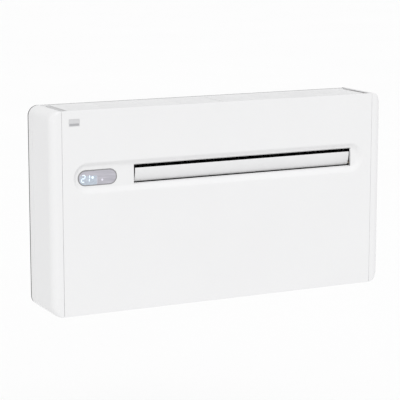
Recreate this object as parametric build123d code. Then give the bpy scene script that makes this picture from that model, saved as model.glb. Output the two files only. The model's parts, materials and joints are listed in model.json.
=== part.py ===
"""Wall-mounted heat recovery unit, 1010 x 549 x 165 mm, one STEP file per piece.

Millimetres. X runs along the unit to the right as seen from the room, Y runs into the wall and Z is up.
The origin is on the wall plane, at the middle of the unit's width and height.
"""
from build123d import *
import os

# Overall casing
WIDTH = 1010.0
HEIGHT = 549.0
DEPTH = 165.0
CAP_WIDTH = 32.5
CAP_CORNER_R = 28.0
CAP_EDGE_R = 13.0
CAP_GROOVES_Y = (-34.0, -21.0)
GROOVE_WIDTH, GROOVE_DEPTH = 2.4, 1.6
SKIN = 3.0
SHEET = 2.0
SEAM_GAP = 0.3
LEFT_SEAM_GAP = 0.9  # the panel hangs a little to the right, so its left seam is the wider one
WALL_GAP = 4.0

HALF_W = WIDTH / 2
HALF_H = HEIGHT / 2
SEAM_X = HALF_W - CAP_WIDTH
PAN_FRONT_Y = -WALL_GAP - SHEET
SIDE_WALL_X = SEAM_X - 0.5
PAN_WALL_FRONT_Y = -150.0
INNER_FRONT_Y = -157.5
INNER_X = SIDE_WALL_X - SHEET - 0.2
FLANGE_X = INNER_X - 4
TOP_FLANGE_LOW_Z, BOTTOM_FLANGE_TOP_Z = 246.0, -258.2
INSULATION_Z = (-255.0, 44.0)

# Casing screws: across into the caps (Y, Z), and through the back pan (X, Z)
SCREW_R, SCREW_HEAD_R, SCREW_CLEAR = 2.0, 4.0, 0.05
CAP_SCREWS = tuple((y, z) for y in (-120.0, -50.0) for z in (-200.0, 30.0, 200.0))
BACK_SCREWS = tuple((x, z) for x in (-440.0, 0.0, 440.0) for z in (-262.0, 256.0))
BOSS_R, BOSS_DEPTH = 5.0, 14.0
HEAD_T = 2.2
CLIP_X = (-420.0, -200.0, 200.0, 420.0)
CLIP_Z = (252.0, -266.0)
CLIP_FOOT, CLIP_ARM = (14.0, 2.0, 9.0), (9.0, 8.5, 2.0)  # half width, depth and height
SEAL_INSET, SEAL_WIDTH = 0.3, 6.0
PAD_X, PAD_Z, PAD_R = 150.0, -240.0, 12.0

# Shallow dish in the front panel, with the outlet slot and the display at its bottom
DISH_LEFT, DISH_RIGHT = -442.0, 447.0
DISH_LOW, DISH_HIGH = 50.0, 137.0
FLOOR_LEFT, FLOOR_RIGHT = -431.0, 424.0
FLOOR_LOW, FLOOR_HIGH = 68.5, 122.5
DISH_DEPTH = 7.0
SLOT_LEFT, SLOT_RIGHT = -265.4, 405.5
SLOT_LOW, SLOT_HIGH = 71.0, 120.5
DISH_FLOOR_Y = -DEPTH + DISH_DEPTH

# Display
DISPLAY_X, DISPLAY_Z = -370.6, 93.7
DISPLAY_W, DISPLAY_H = 112.0, 42.5
BEZEL_T, DISPLAY_BOARD_HALF, LED_COUNT, LED_PITCH, LED_HALF = 5.0, (54.0, 18.0), 9, 11.0, 2.5

# Emblem plate on the front panel
EMBLEM_X, EMBLEM_Z = -437.0, 243.5
EMBLEM_W, EMBLEM_H, EMBLEM_T = 30.0, 19.0, 0.8
EMBLEM_RING_R, EMBLEM_RING_INNER_R, EMBLEM_RING_DEPTH = 6.5, 5.0, 0.3

# Outlet flap: a curved blade that turns on a pivot by its lower edge
FLAP_LEFT, FLAP_RIGHT = -262.0, 402.0
FLAP_PIVOT_Y, FLAP_PIVOT_Z = -146.5, 78.0
FLAP_PIN_R = 2.5
FLAP_T = 2.6
FLAP_PROFILE = ((-148.6, 74.4), (-155.1, 92.0), (-157.6, 110.0))
FLAP_BOSS_R, FLAP_BOSS_T = 5.0, 3.0
FLAP_LEFT_REACH, FLAP_RIGHT_REACH = 18.0, 8.0
FLAP_MOTOR_R, FLAP_MOTOR_OFFSET, FLAP_MOTOR_X = 13.0, 8.0, (FLAP_LEFT - 29, FLAP_LEFT - 11)

# Top deck and the two lift-out filter cassettes
DECK_TOP_Z = 273.5
LIP_FRONT_Y, LIP_T, LIP_TOP_Z = -159.0, 2.5, 274.4
CHANNEL_FLOOR_Z, CHANNEL_WALL_TOP_Z = 264.5, 270.8
PAN_TOP_Z = CHANNEL_FLOOR_Z - SKIN - 0.2
CASSETTE_X = (8.0, 452.0)
CASSETTE_Y = (-150.0, -24.0)
CASSETTE_GAP = 0.6
GRILLE_TOP_Z = 274.3
GRILLE_T = 4.0
GRILLE_ROWS = 10
GRILLE_BAYS = 4
GRILLE_MARGIN, GRILLE_RIB = 9.0, 6.0
SLOT_W = 5.0
FILTER_LOW_Z = 249.0
LEDGE_GAP, LEDGE_T, LEDGE_WIDTH = 0.3, 2.2, 4.0
PLEAT_PITCH = 12.0
PLEAT_HEIGHT = 11.0
FLEECE_T = 1.6

# Cross-flow plate core, a square block stood on its corner
CORE_Z = -84.0
CORE_HALF_SIDE = 94.7
CORE_PLATES = 22
CORE_PLATE_T = 0.9
CORE_FRONT_Y, CORE_BACK_Y = -147.0, -19.0
CORE_END_GAP = 1.2
RAIL_T = 2.0
RAIL_LEG = 16.0
RAIL_GAP = 0.3

# Supply fan, a cross-flow drum along X
FAN_Y, FAN_Z = -80.0, 110.0
FAN_R = 44.0
FAN_LEFT, FAN_RIGHT = -262.0, 395.0
FAN_BLADES = 24
FAN_BLADE_CHORD, FAN_BLADE_T, FAN_BLADE_TURN = 13.0, 1.2, 22.0
FAN_RINGS = 6
FAN_RING_T, FAN_RING_WIDTH = 3.0, 16.0
FAN_SHAFT_R = 5.0
FAN_SHAFT_END = 432.0
FAN_BUSH_R = 11.0
END_PLATE_RIGHT = 401.5
HOUSING_RIGHT = END_PLATE_RIGHT - 0.7
MOTOR_R, MOTOR_NECK_R = 36.0, 16.0
MOTOR_X = (405.0, 452.0)
SCROLL_R = 49.5
SCROLL_START, SCROLL_SWEEP = -48.0, 210.0
NOZZLE_BACK_Y = -127.5
STABILISER = ((-126.3, 70.5), (-119.4, 83.5))
END_PLATE_BACK_Y, END_PLATE_TOP_Z = -16.0, 166.0
FAN_DECK_Z = (58.0, 60.0)
FAN_DECK_OPENING = (160.0, 390.0, -96.0, -22.0)
GUARD_Y = (-139.5, -137.0)
GUARD_BARS = 28
GUARD_BAR_HALF, GUARD_END_MARGIN, GUARD_RAIL = 0.9, 1.3, 2.0

# Exhaust fan, a radial wheel on the X axis
WHEEL_Y, WHEEL_Z = -82.0, -178.0
WHEEL_R = 66.0
WHEEL_WIDTH = 36.0
WHEEL_BLADES = 9
WHEEL_BLADE_R, WHEEL_BLADE_CHORD, WHEEL_BLADE_T, WHEEL_BLADE_TURN = 50.0, 28.0, 1.8, 38.0
WHEEL_HUB_R, WHEEL_EYE_R = 14.0, 48.5
BULKHEAD_X = 163.0
WHEEL_LEFT = BULKHEAD_X + 10
WHEEL_RIGHT = WHEEL_LEFT + WHEEL_WIDTH
INLET_R, INLET_WALL, INLET_FLANGE = 44.0, 2.0, 10.0
WHEEL_SHAFT_R = 4.0
WHEEL_MOTOR_R = 31.0
WHEEL_MOTOR_X = (BULKHEAD_X + 54, BULKHEAD_X + 86)

# Duct ports through the wall
PORT_X, PORT_Z = 330.0, -172.0
PORT_R = 80.0
PORT_LENGTH = 34.0
PORT_WALL = 3.0
PORT_STOP = 1.5
COLLAR_BACK_Y = -47.0
COLLAR_FLANGE = 2.5
PORT_SEAL_R = 95.0
SHUTTER_R = 77.0
SHUTTER_T = 2.0
SHUTTER_Y = -40.0
SHUTTER_PIN_R = 3.0
SHUTTER_PIN_REACH, SHUTTER_BORE_REACH = PORT_R + 2.5, 90.0
KNUCKLE_R, KNUCKLE_HALF = 5.2, 12.0
KNUCKLES_LEFT, KNUCKLES_RIGHT = (-45.0, 15.0), (-15.0, 45.0)
BLADE_FROM_PIN = 6.5
SHUTTER_DRIVE_Y = (-46.0, -14.0)
SHUTTER_DRIVE_GAP, DRIVE_LENGTH, DRIVE_HALF = 7.0, 26.0, 22.0

# Defrost damper in the left partition
DAMPER_X = (-300.0, -212.0)
DAMPER_Y = (-130.0, -42.0)
DAMPER_AXIS_X, DAMPER_AXIS_Z = -204.0, -78.0
DAMPER_PIN_R = 2.5
DAMPER_LAP = 5.0
DAMPER_ROLL_R = 4.4
DAMPER_PIN_REACH = 14.0
DAMPER_POST_HALF, DAMPER_POST_T, DAMPER_POST_RISE = 6.0, 5.0, 6.0
DAMPER_POSTS_Y = (DAMPER_Y[0] - 12, DAMPER_Y[1] + 7)
PARTITION_TOP_Z = -83.0
PARTITION_EDGE_X = 141.0

# Wall bracket
BRACKET_X = 300.0
BRACKET_Z = (-30.0, 225.0)
BRACKET_T = 2.5
BOLT_X, BOLT_LOW_Z, BOLT_HIGH_Z = 270.0, -5.0, 205.0
BOLT_R = 4.0
HOOK_X, HOOK_W, HOOK_Z = 200.0, 40.0, 214.0
HOOK_REACH, HOOK_RISE = 11.0, 13.0

# Drain and cable entry
TRAY_X, TRAY_Z, TRAY_BACK_Y = 150.0, (-262.0, -228.0), -12.5
DRAIN_X, DRAIN_Y, DRAIN_R, DRAIN_WALL = 100.0, -60.0, 8.0, 2.0
GLAND_X, GLAND_Z, GLAND_R = 440.0, -30.0, 6.0
GLAND_WALL = 4.0

# Electronics in the supply chamber
CONTROL_X, CONTROL_Y, CONTROL_Z = (332.0, 464.0), (-149.0, -72.0), (-78.0, 50.0)
CONTROL_LID_Y = (-151.2, -149.2)
VENTS, VENT_PITCH, VENT_W, VENT_MARGIN = 5, 22.0, 3.0, 18.0
BOARD_Y = (-84.0, -82.4)
BOARD_MARGIN = (6.0, 8.0)
TRANSFORMER_X, TRANSFORMER_Z, TRANSFORMER_FRONT_Y = (344.0, 380.0), (-64.0, -34.0), -112.0
RELAY_X, RELAY_Z, RELAY_FRONT_Y = (390.0, 404.0), (-62.0, -42.0), -99.0
RELAYS, RELAY_PITCH = 3, 20.0
CAPACITORS, CAPACITOR_PITCH, CAPACITOR_R, CAPACITOR_FRONT_Y = 3, 16.0, 6.0, -104.0
CAPACITOR_X, CAPACITOR_Z = 352.0, 24.0
CHIP_X, CHIP_Z, CHIP_FRONT_Y = (404.0, 430.0), (-10.0, 14.0), -86.5
TERMINAL_X, TERMINAL_Z, TERMINAL_Y = (440.0, 455.0), (-30.0, 34.0), (-100.0, -92.0)
TERMINALS, TERMINAL_PITCH, TERMINAL_R, TERMINAL_FIRST_Z = 6, 10.8, 2.6, -25.0
LEAD_X, LEAD_Y, LEAD_R, LEAD_TOP_Z = 430.0, -100.0, 4.0, 77.3
GROMMET_R, GROMMET_LIP_R = 8.1, 11.0
PROBE_PLACES = ((-420.0, 0.0), (240.0, 20.0), (-240.0, -120.0), (440.0, -110.0))
PROBE_R, PROBE_FOOT_R = 2.5, 5.0

# Fresh air filter
FRESH_FILTER_X = (-202.0, -182.0)
FRESH_FILTER_LOW_Z = -255.0
FRESH_PLEATS = 12
FRESH_PLEAT_DEPTH = 12.0
FRESH_WALL, FRESH_FLEECE_T = 4.0, 2.0

RUN = 0.05  # radial clearance of a pin in its hole


def block(x0, x1, y0, y1, z0, z1):
    """Box between two corners."""
    place = Pos((x0 + x1) / 2, (y0 + y1) / 2, (z0 + z1) / 2)
    return place * Box(x1 - x0, y1 - y0, z1 - z0)


def rod_x(y, z, radius, x0, x1):
    return Pos((x0 + x1) / 2, y, z) * Rot(0, 90, 0) * Cylinder(radius, x1 - x0)


def rod_y(x, z, radius, y0, y1):
    return Pos(x, (y0 + y1) / 2, z) * Rot(90, 0, 0) * Cylinder(radius, y1 - y0)


def rod_z(x, y, radius, z0, z1):
    return Pos(x, y, (z0 + z1) / 2) * Cylinder(radius, z1 - z0)


def front_sketch(sketch, y):
    """Stands a sketch up in the front view at depth y, with its own Y as the unit's Z."""
    return Pos(0, y, 0) * Rot(90, 0, 0) * sketch


def stadium(x, z, length, height):
    return Pos(x, z) * SlotOverall(length, height)


def side_extrude(sketch, x0, x1):
    """Extrudes a sketch drawn in Y and Z along X."""
    return Pos(x0, 0, 0) * extrude(Plane.YZ * sketch, x1 - x0)


def tube_x(y, z, outer, inner, x0, x1):
    return rod_x(y, z, outer, x0, x1) - rod_x(y, z, inner, x0 - 1, x1 + 1)


def tube_y(x, z, outer, inner, y0, y1):
    return rod_y(x, z, outer, y0, y1) - rod_y(x, z, inner, y0 - 1, y1 + 1)


def group(solids):
    """Separate solids in one node."""
    return Compound(children=[Solid(s.solids()[0].wrapped) for s in solids])


def mirror_x(shape):
    return mirror(shape, Plane.YZ)


# ---------------------------------------------------------------- casing


def cap_blank(inset):
    """Right end cap's outer form, or its hollow when inset."""
    radius = CAP_CORNER_R - inset
    edge = CAP_EDGE_R - inset
    form = block(
        SEAM_X - inset, HALF_W - inset, -DEPTH + inset, -WALL_GAP - inset, -HALF_H + inset, HALF_H - inset
    )
    corners = [e for e in form.edges().filter_by(Axis.Y) if e.center().X > SEAM_X + 1]
    form = fillet(corners, radius)
    front = form.faces().sort_by(Axis.Y)[0]
    rim = [e for e in front.edges() if e.center().X > SEAM_X + 1 or e.length < CAP_WIDTH]
    return fillet(rim, edge)


def right_cap():
    """Thin shell, open towards the unit, with two grooves near the wall and bosses for its screws."""
    cap = cap_blank(0) - cap_blank(SKIN)
    half = GROOVE_WIDTH / 2
    for groove_y in CAP_GROOVES_Y:
        belt = block(SEAM_X - 1, HALF_W + 1, groove_y - half, groove_y + half, -HALF_H, HALF_H)
        cap -= (cap_blank(0) - cap_blank(GROOVE_DEPTH)) & belt
    for y, z in CAP_SCREWS:
        cap += rod_x(y, z, BOSS_R, SEAM_X + 0.1, HALF_W - SKIN + 0.5)
        cap -= rod_x(y, z, SCREW_R + SCREW_CLEAR, SEAM_X - 1, SEAM_X + BOSS_DEPTH)
    return cap


def cap_screw(y, z):
    head = rod_x(y, z, SCREW_HEAD_R, INNER_X - HEAD_T, INNER_X)
    return head + rod_x(y, z, SCREW_R, INNER_X, SEAM_X + BOSS_DEPTH - 2)


def back_screw(x, z):
    head = rod_y(x, z, SCREW_HEAD_R, -WALL_GAP, -WALL_GAP + HEAD_T)
    return head + rod_y(x, z, SCREW_R, -12.0, -WALL_GAP)


def dish(back):
    """Tapered stadium that forms the dish, or with back > 0 the panel wall behind it."""
    levels = (
        (DISH_LEFT, DISH_RIGHT, DISH_LOW, DISH_HIGH, -DEPTH + back),
        (FLOOR_LEFT, FLOOR_RIGHT, FLOOR_LOW, FLOOR_HIGH, DISH_FLOOR_Y + back),
    )
    outlines = []
    for left, right, low, high, y in levels:
        length, height = right - left + 2 * back, high - low + 2 * back
        outline = stadium((left + right) / 2, (low + high) / 2, length, height)
        outlines.append(front_sketch(outline, y).face())
    return loft(outlines, ruled=True)


def emblem_plate(margin):
    length, height = EMBLEM_W + 2 * margin, EMBLEM_H + 2 * margin
    return Pos(EMBLEM_X, -DEPTH + EMBLEM_T / 2, EMBLEM_Z) * Box(length, EMBLEM_T, height)


def front_panel():
    panel = block(-SEAM_X + LEFT_SEAM_GAP, SEAM_X - SEAM_GAP, -DEPTH, -DEPTH + SKIN, -HALF_H, HALF_H)
    panel = panel + dish(SKIN) - dish(0)
    panel -= block(SLOT_LEFT, SLOT_RIGHT, -DEPTH, -DEPTH + 20, SLOT_LOW, SLOT_HIGH)
    window = stadium(DISPLAY_X, DISPLAY_Z, DISPLAY_W, DISPLAY_H)
    panel -= extrude(front_sketch(window, -DEPTH - 1), 30, dir=(0, 1, 0))
    return panel - emblem_plate(0.1)


def emblem():
    """Plain plate with a shallow ring cut in it, and no mark."""
    depth = (-DEPTH - EMBLEM_RING_DEPTH, -DEPTH + EMBLEM_RING_DEPTH)
    return emblem_plate(0) - tube_y(EMBLEM_X, EMBLEM_Z, EMBLEM_RING_R, EMBLEM_RING_INNER_R, *depth)


def cassette_hole(side, margin, low, high):
    """Block over one cassette's opening, its sides moved out by margin."""
    left, right = sorted((side * CASSETTE_X[0], side * CASSETTE_X[1]))
    front, back = CASSETTE_Y
    return block(left - margin, right + margin, front - margin, back + margin, low, high)


def top_frame():
    """Recessed deck with a front lip, a channel at each end and a walled opening for each cassette."""
    end_x = SEAM_X - SEAM_GAP
    deck_x = CASSETTE_X[1] + SHEET
    deck_low, channel_low = DECK_TOP_Z - SKIN, CHANNEL_FLOOR_Z - SKIN
    deck = block(-deck_x, deck_x, LIP_FRONT_Y, -WALL_GAP, deck_low, DECK_TOP_Z)
    deck += block(-end_x, end_x, LIP_FRONT_Y, LIP_FRONT_Y + LIP_T, channel_low, LIP_TOP_Z)
    deck += block(-end_x, end_x, PAN_FRONT_Y - SKIN, -WALL_GAP, channel_low, DECK_TOP_Z)
    flange_y = (PAN_FRONT_Y - SKIN, PAN_FRONT_Y - 0.2)
    deck += block(-FLANGE_X, FLANGE_X, *flange_y, TOP_FLANGE_LOW_Z, deck_low)
    for side in (-1, 1):
        for inner, outer, high in (
            (deck_x - SHEET, deck_x, DECK_TOP_Z),
            (deck_x - SHEET, end_x, CHANNEL_FLOOR_Z),
            (end_x - SHEET, end_x, CHANNEL_WALL_TOP_Z),
        ):
            near, far = sorted((side * inner, side * outer))
            deck += block(near, far, LIP_FRONT_Y, -WALL_GAP, channel_low, high)
        ledge_low = FILTER_LOW_Z - LEDGE_GAP - LEDGE_T
        deck += cassette_hole(side, SHEET, ledge_low, DECK_TOP_Z)
        deck -= cassette_hole(side, 0, FILTER_LOW_Z - LEDGE_GAP, DECK_TOP_Z + 1)
        deck -= cassette_hole(side, -LEDGE_WIDTH, ledge_low - 1, DECK_TOP_Z)
    for x, z in BACK_SCREWS:
        deck -= rod_y(x, z, SCREW_R + SCREW_CLEAR, -20, 0)
    return deck


def bottom_cover():
    end_x = SEAM_X - SEAM_GAP
    flange_front, flange_back = PAN_FRONT_Y - SKIN - 0.2, PAN_FRONT_Y - 0.2
    cover = block(-end_x, end_x, -DEPTH + SKIN + 0.5, flange_back, -HALF_H, -HALF_H + SKIN)
    cover += block(-FLANGE_X, FLANGE_X, flange_front, flange_back, -HALF_H, BOTTOM_FLANGE_TOP_Z)
    for x, z in BACK_SCREWS:
        cover -= rod_y(x, z, SCREW_R + SCREW_CLEAR, -20, 0)
    return cover - rod_z(DRAIN_X, DRAIN_Y, DRAIN_R + DRAIN_WALL + 0.3, -HALF_H - 1, -HALF_H + 5)


def back_pan():
    """Sheet steel back with side walls, pierced for the ducts, the bracket hooks and the cable."""
    low = -HALF_H + SKIN + 0.2
    pan = block(-SIDE_WALL_X, SIDE_WALL_X, PAN_FRONT_Y, -WALL_GAP, low, PAN_TOP_Z)
    for side in (-1, 1):
        left, right = sorted((side * SIDE_WALL_X, side * (SIDE_WALL_X - SHEET)))
        pan += block(left, right, PAN_WALL_FRONT_Y, -WALL_GAP, low, PAN_TOP_Z)
        pan -= rod_y(side * PORT_X, PORT_Z, PORT_R + PORT_WALL + 0.4, -20, 0)
        hook, half = side * HOOK_X, HOOK_W / 2 + 2
        pan -= block(hook - half, hook + half, -10, 0, HOOK_Z - 12, HOOK_Z + BRACKET_T + 0.1)
        for y, z in CAP_SCREWS:
            pan -= rod_x(y, z, SCREW_R + SCREW_CLEAR, left - 5, right + 5)
    for x, z in BACK_SCREWS:
        pan -= rod_y(x, z, SCREW_R + SCREW_CLEAR, -20, 0)
    return pan - rod_y(GLAND_X, GLAND_Z, GLAND_R + GLAND_WALL + 0.05, -20, 0)


def wall_bracket():
    """Steel plate screwed to the wall, with two upturned hooks that the back pan drops on."""
    low, high = BRACKET_Z
    plate = block(-BRACKET_X, BRACKET_X, -BRACKET_T, 0, low, high)
    for side in (-1, 1):
        left, right = side * HOOK_X - HOOK_W / 2, side * HOOK_X + HOOK_W / 2
        plate += block(left, right, -HOOK_REACH, 0, HOOK_Z, HOOK_Z + BRACKET_T)
        plate += block(left, right, -HOOK_REACH, -HOOK_REACH + BRACKET_T, HOOK_Z, HOOK_Z + HOOK_RISE)
        for z in (BOLT_LOW_Z, BOLT_HIGH_Z):
            plate -= rod_y(side * BOLT_X, z, BOLT_R, -10, 10)
    return plate


def panel_clips():
    """Sprung clips that hold the front panel along its top and bottom edges."""
    clips = []
    front = -DEPTH + SKIN
    foot_half, foot_t, foot_h = CLIP_FOOT
    arm_half, reach, arm_t = CLIP_ARM
    for x in CLIP_X:
        for z in CLIP_Z:
            foot = block(x - foot_half, x + foot_half, front, front + foot_t, z, z + foot_h)
            low = z + (foot_h - arm_t) / 2
            clips.append(foot + block(x - arm_half, x + arm_half, front, front + reach, low, low + arm_t))
    return group(clips)


# ---------------------------------------------------------------- filter cassettes


def cassette_bounds(side):
    left, right = sorted((side * CASSETTE_X[0], side * CASSETTE_X[1]))
    gap = CASSETTE_GAP
    return left + gap, right - gap, CASSETTE_Y[0] + gap, CASSETTE_Y[1] - gap


def intake_grille(side):
    """Plate with lengthwise air slots in four bays."""
    left, right, front, back = cassette_bounds(side)
    low = GRILLE_TOP_Z - GRILLE_T
    plate = block(left, right, front, back, low, GRILLE_TOP_Z)
    bay = (right - left - 2 * GRILLE_MARGIN) / GRILLE_BAYS
    pitch = (back - front - 2 * GRILLE_MARGIN) / GRILLE_ROWS
    cut = Box(bay - GRILLE_RIB, SLOT_W, 3 * GRILLE_T)
    slots = []
    for column in range(GRILLE_BAYS):
        x = left + GRILLE_MARGIN + bay * (column + 0.5)
        for row in range(GRILLE_ROWS):
            slots.append(Pos(x, front + GRILLE_MARGIN + pitch * (row + 0.5), low) * cut)
    return plate - slots


def filter_frame(side):
    left, right, front, back = cassette_bounds(side)
    high = GRILLE_TOP_Z - GRILLE_T
    frame = block(left, right, front, back, FILTER_LOW_Z, high)
    hollow = (left + SHEET, right - SHEET, front + SHEET, back - SHEET)
    frame -= block(*hollow, FILTER_LOW_Z - 1, high + 1)
    for share in (0.25, 0.5, 0.75):
        x = left + (right - left) * share
        frame += block(x - 1, x + 1, front + 1, back - 1, high - 3, high)
    return frame


def filter_media(side):
    """Pleated sheet, folded along X, held between the frame's walls."""
    left, right, front, back = cassette_bounds(side)
    start, end = left + SHEET + 3, right - SHEET - 3
    count = int((end - start) / PLEAT_PITCH)
    pitch = (end - start) / count
    low = FILTER_LOW_Z + 1.5 + FLEECE_T
    upper = [(start + pitch * i / 2, low + PLEAT_HEIGHT * (i % 2)) for i in range(2 * count + 1)]
    lower = [(x, z - FLEECE_T) for x, z in reversed(upper)]
    sheet = make_face(Polyline(*upper, *lower, close=True))
    near, far = front + SHEET + 0.3, back - SHEET - 0.3
    return extrude(front_sketch(sheet, near), far - near, dir=(0, 1, 0))


# ---------------------------------------------------------------- heat exchanger


def on_corner(shape, quarter):
    """Turns a shape drawn about the core's axis to stand on its corner."""
    return Pos(0, 0, CORE_Z) * Rot(0, 45 + 90 * quarter, 0) * shape


def exchanger_plates():
    side = 2 * CORE_HALF_SIDE
    pitch = (CORE_BACK_Y - CORE_FRONT_Y) / (CORE_PLATES - 1)
    places = [CORE_FRONT_Y + pitch * i for i in range(CORE_PLATES)]
    return group([on_corner(Pos(0, y, 0) * Box(side, CORE_PLATE_T, side), 0) for y in places])


def exchanger_rails():
    """Angle rails along the four long corners of the plate pack."""
    inner, outer = CORE_HALF_SIDE + RAIL_GAP, CORE_HALF_SIDE + RAIL_GAP + RAIL_T
    front, back = CORE_FRONT_Y - CORE_END_GAP, CORE_BACK_Y + CORE_END_GAP
    leg_a = block(outer - RAIL_LEG, outer, front, back, inner, outer)
    leg_b = block(inner, outer, front, back, outer - RAIL_LEG, outer)
    return group([on_corner(leg_a + leg_b, quarter) for quarter in range(4)])


def exchanger_ends():
    side = 2 * (CORE_HALF_SIDE + RAIL_T + RAIL_GAP)
    reach = CORE_END_GAP + SHEET / 2
    places = (CORE_FRONT_Y - reach, CORE_BACK_Y + reach)
    return group([on_corner(Pos(0, y, 0) * Box(side, SHEET, side), 0) for y in places])


# ---------------------------------------------------------------- partitions and tray


def left_partition():
    """Shelf between the extract chamber above and the fresh air chamber below, with the damper's opening."""
    low = PARTITION_TOP_Z - SKIN
    plate = block(-INNER_X, -PARTITION_EDGE_X, INNER_FRONT_Y, PAN_FRONT_Y, low, PARTITION_TOP_Z)
    plate -= block(*DAMPER_X, *DAMPER_Y, low - 1, PARTITION_TOP_Z + 1)
    near, far = DAMPER_AXIS_X - DAMPER_POST_HALF, DAMPER_AXIS_X + DAMPER_POST_HALF
    for y in DAMPER_POSTS_Y:
        post_top = DAMPER_AXIS_Z + DAMPER_POST_RISE
        plate += block(near, far, y, y + DAMPER_POST_T, PARTITION_TOP_Z - 1, post_top)
    return plate - rod_y(DAMPER_AXIS_X, DAMPER_AXIS_Z, DAMPER_PIN_R + 0.02, -150, -25)


def right_partition():
    low = PARTITION_TOP_Z - SKIN
    return block(PARTITION_EDGE_X, INNER_X, INNER_FRONT_Y, PAN_FRONT_Y, low, PARTITION_TOP_Z)


def recirculation_damper():
    """Flat blade with a rolled edge round the pin."""
    y0, y1 = DAMPER_Y[0] - DAMPER_LAP, DAMPER_Y[1] + DAMPER_LAP
    low = PARTITION_TOP_Z + 0.4
    blade = block(DAMPER_X[0] - DAMPER_LAP, DAMPER_AXIS_X, y0, y1, low, low + SHEET)
    blade += rod_y(DAMPER_AXIS_X, DAMPER_AXIS_Z, DAMPER_ROLL_R, y0, y1)
    return blade - rod_y(DAMPER_AXIS_X, DAMPER_AXIS_Z, DAMPER_PIN_R + RUN, y0 - 1, y1 + 1)


def condensate_tray():
    """Open tray under the core, with a rib that keeps the two air paths apart."""
    front = INNER_FRONT_Y + 1
    low, high = TRAY_Z
    inner = TRAY_X - SHEET
    tray = block(-TRAY_X, TRAY_X, front, TRAY_BACK_Y, low, high)
    tray -= block(-inner, inner, front + SHEET, TRAY_BACK_Y - SHEET, low + SHEET, high + 1)
    tray += block(-1, 1, front + 1, TRAY_BACK_Y - 1, low + 1, high)
    return tray - rod_z(DRAIN_X, DRAIN_Y, DRAIN_R + DRAIN_WALL + 0.05, low - 1, low + 5)


def drain_nozzle():
    outer = DRAIN_R + DRAIN_WALL
    tray_low = TRAY_Z[0]
    tube = rod_z(DRAIN_X, DRAIN_Y, outer, -HALF_H, tray_low + SHEET)
    tube += rod_z(DRAIN_X, DRAIN_Y, outer + 5, tray_low - 3, tray_low - 0.1)
    return tube - rod_z(DRAIN_X, DRAIN_Y, DRAIN_R, -HALF_H - 1, tray_low + 10)


def supply_deck():
    """Floor of the supply fan's compartment, open to the supply chamber on the right."""
    low, high = FAN_DECK_Z
    plate = block(SLOT_LEFT - 3, INNER_X, INNER_FRONT_Y + 3, PAN_FRONT_Y, low, high)
    plate -= block(*FAN_DECK_OPENING, low - 5, high + 5)
    return plate - rod_z(LEAD_X, LEAD_Y, GROMMET_R + 0.1, low - 5, high + 5)


def front_insulation():
    return block(-FLANGE_X, FLANGE_X, -DEPTH + SKIN + 0.2, INNER_FRONT_Y - 0.4, *INSULATION_Z)


# ---------------------------------------------------------------- supply fan


def supply_impeller():
    """Drum of blades between rings, and its steel shaft."""
    place = Pos(FAN_Y, FAN_Z)
    blade = Pos(FAN_R - 1.5 - FAN_BLADE_CHORD / 2, 0) * Rot(0, 0, FAN_BLADE_TURN)
    blade *= Rectangle(FAN_BLADE_CHORD, FAN_BLADE_T)
    blades = [Rot(0, 0, 360 / FAN_BLADES * i) * blade for i in range(FAN_BLADES)]
    drum = side_extrude(place * Sketch(children=blades), FAN_LEFT, FAN_RIGHT)
    end_disc = Circle(FAN_R) - Circle(FAN_SHAFT_R + 0.02)
    ring = Circle(FAN_R) - Circle(FAN_R - FAN_RING_WIDTH)
    pitch = (FAN_RIGHT - FAN_LEFT - FAN_RING_T) / FAN_RINGS
    for i in range(FAN_RINGS + 1):
        x = FAN_LEFT + pitch * i
        shape = end_disc if i in (0, FAN_RINGS) else ring
        drum += side_extrude(place * shape, x, x + FAN_RING_T)
    return group([drum, rod_x(FAN_Y, FAN_Z, FAN_SHAFT_R, FAN_LEFT - 18, FAN_SHAFT_END)])


def supply_motor():
    left, right = MOTOR_X
    motor = rod_x(FAN_Y, FAN_Z, MOTOR_R, left, right)
    motor += rod_x(FAN_Y, FAN_Z, MOTOR_NECK_R, END_PLATE_RIGHT, right + 8)
    return motor - rod_x(FAN_Y, FAN_Z, FAN_SHAFT_R + RUN, left - 5, FAN_SHAFT_END + 8)


def fan_end_plates():
    plates = []
    for x, hole in ((SLOT_LEFT - 6.5, FAN_BUSH_R + 0.03), (END_PLATE_RIGHT, MOTOR_NECK_R + 0.2)):
        y = (NOZZLE_BACK_Y + 1, END_PLATE_BACK_Y)
        plate = block(x, x + SKIN, *y, FAN_DECK_Z[1] + 0.1, END_PLATE_TOP_Z)
        plates.append(plate - rod_x(FAN_Y, FAN_Z, hole, x - 1, x + 4))
    return group(plates)


def scroll_housing():
    """Curved sheet over the back and top of the drum, running down to the outlet nozzle."""
    arc = CenterArc((FAN_Y, FAN_Z), SCROLL_R, SCROLL_START, SCROLL_SWEEP)
    return side_extrude(trace(arc, SHEET), SLOT_LEFT - 3, HOUSING_RIGHT)


def stabiliser():
    """Lip that parts the drum's intake from its outlet."""
    return side_extrude(trace(Line(*STABILISER), SHEET), SLOT_LEFT - 3, HOUSING_RIGHT)


def outlet_nozzle():
    """Short rectangular duct from the fan to the slot, with the flap's pin holes in its ends."""
    left, right, front = SLOT_LEFT - 3, SLOT_RIGHT + 3, DISH_FLOOR_Y + SKIN + 0.3
    duct = block(left, right, front, NOZZLE_BACK_Y, SLOT_LOW - 2.5, SLOT_HIGH + 3)
    duct -= block(left + 2.9, right - 2.9, front - 1, NOZZLE_BACK_Y + 1, SLOT_LOW, SLOT_HIGH + 0.5)
    return duct - rod_x(FLAP_PIVOT_Y, FLAP_PIVOT_Z, FLAP_BOSS_R + 0.03, left - 2, right + 2)


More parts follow.
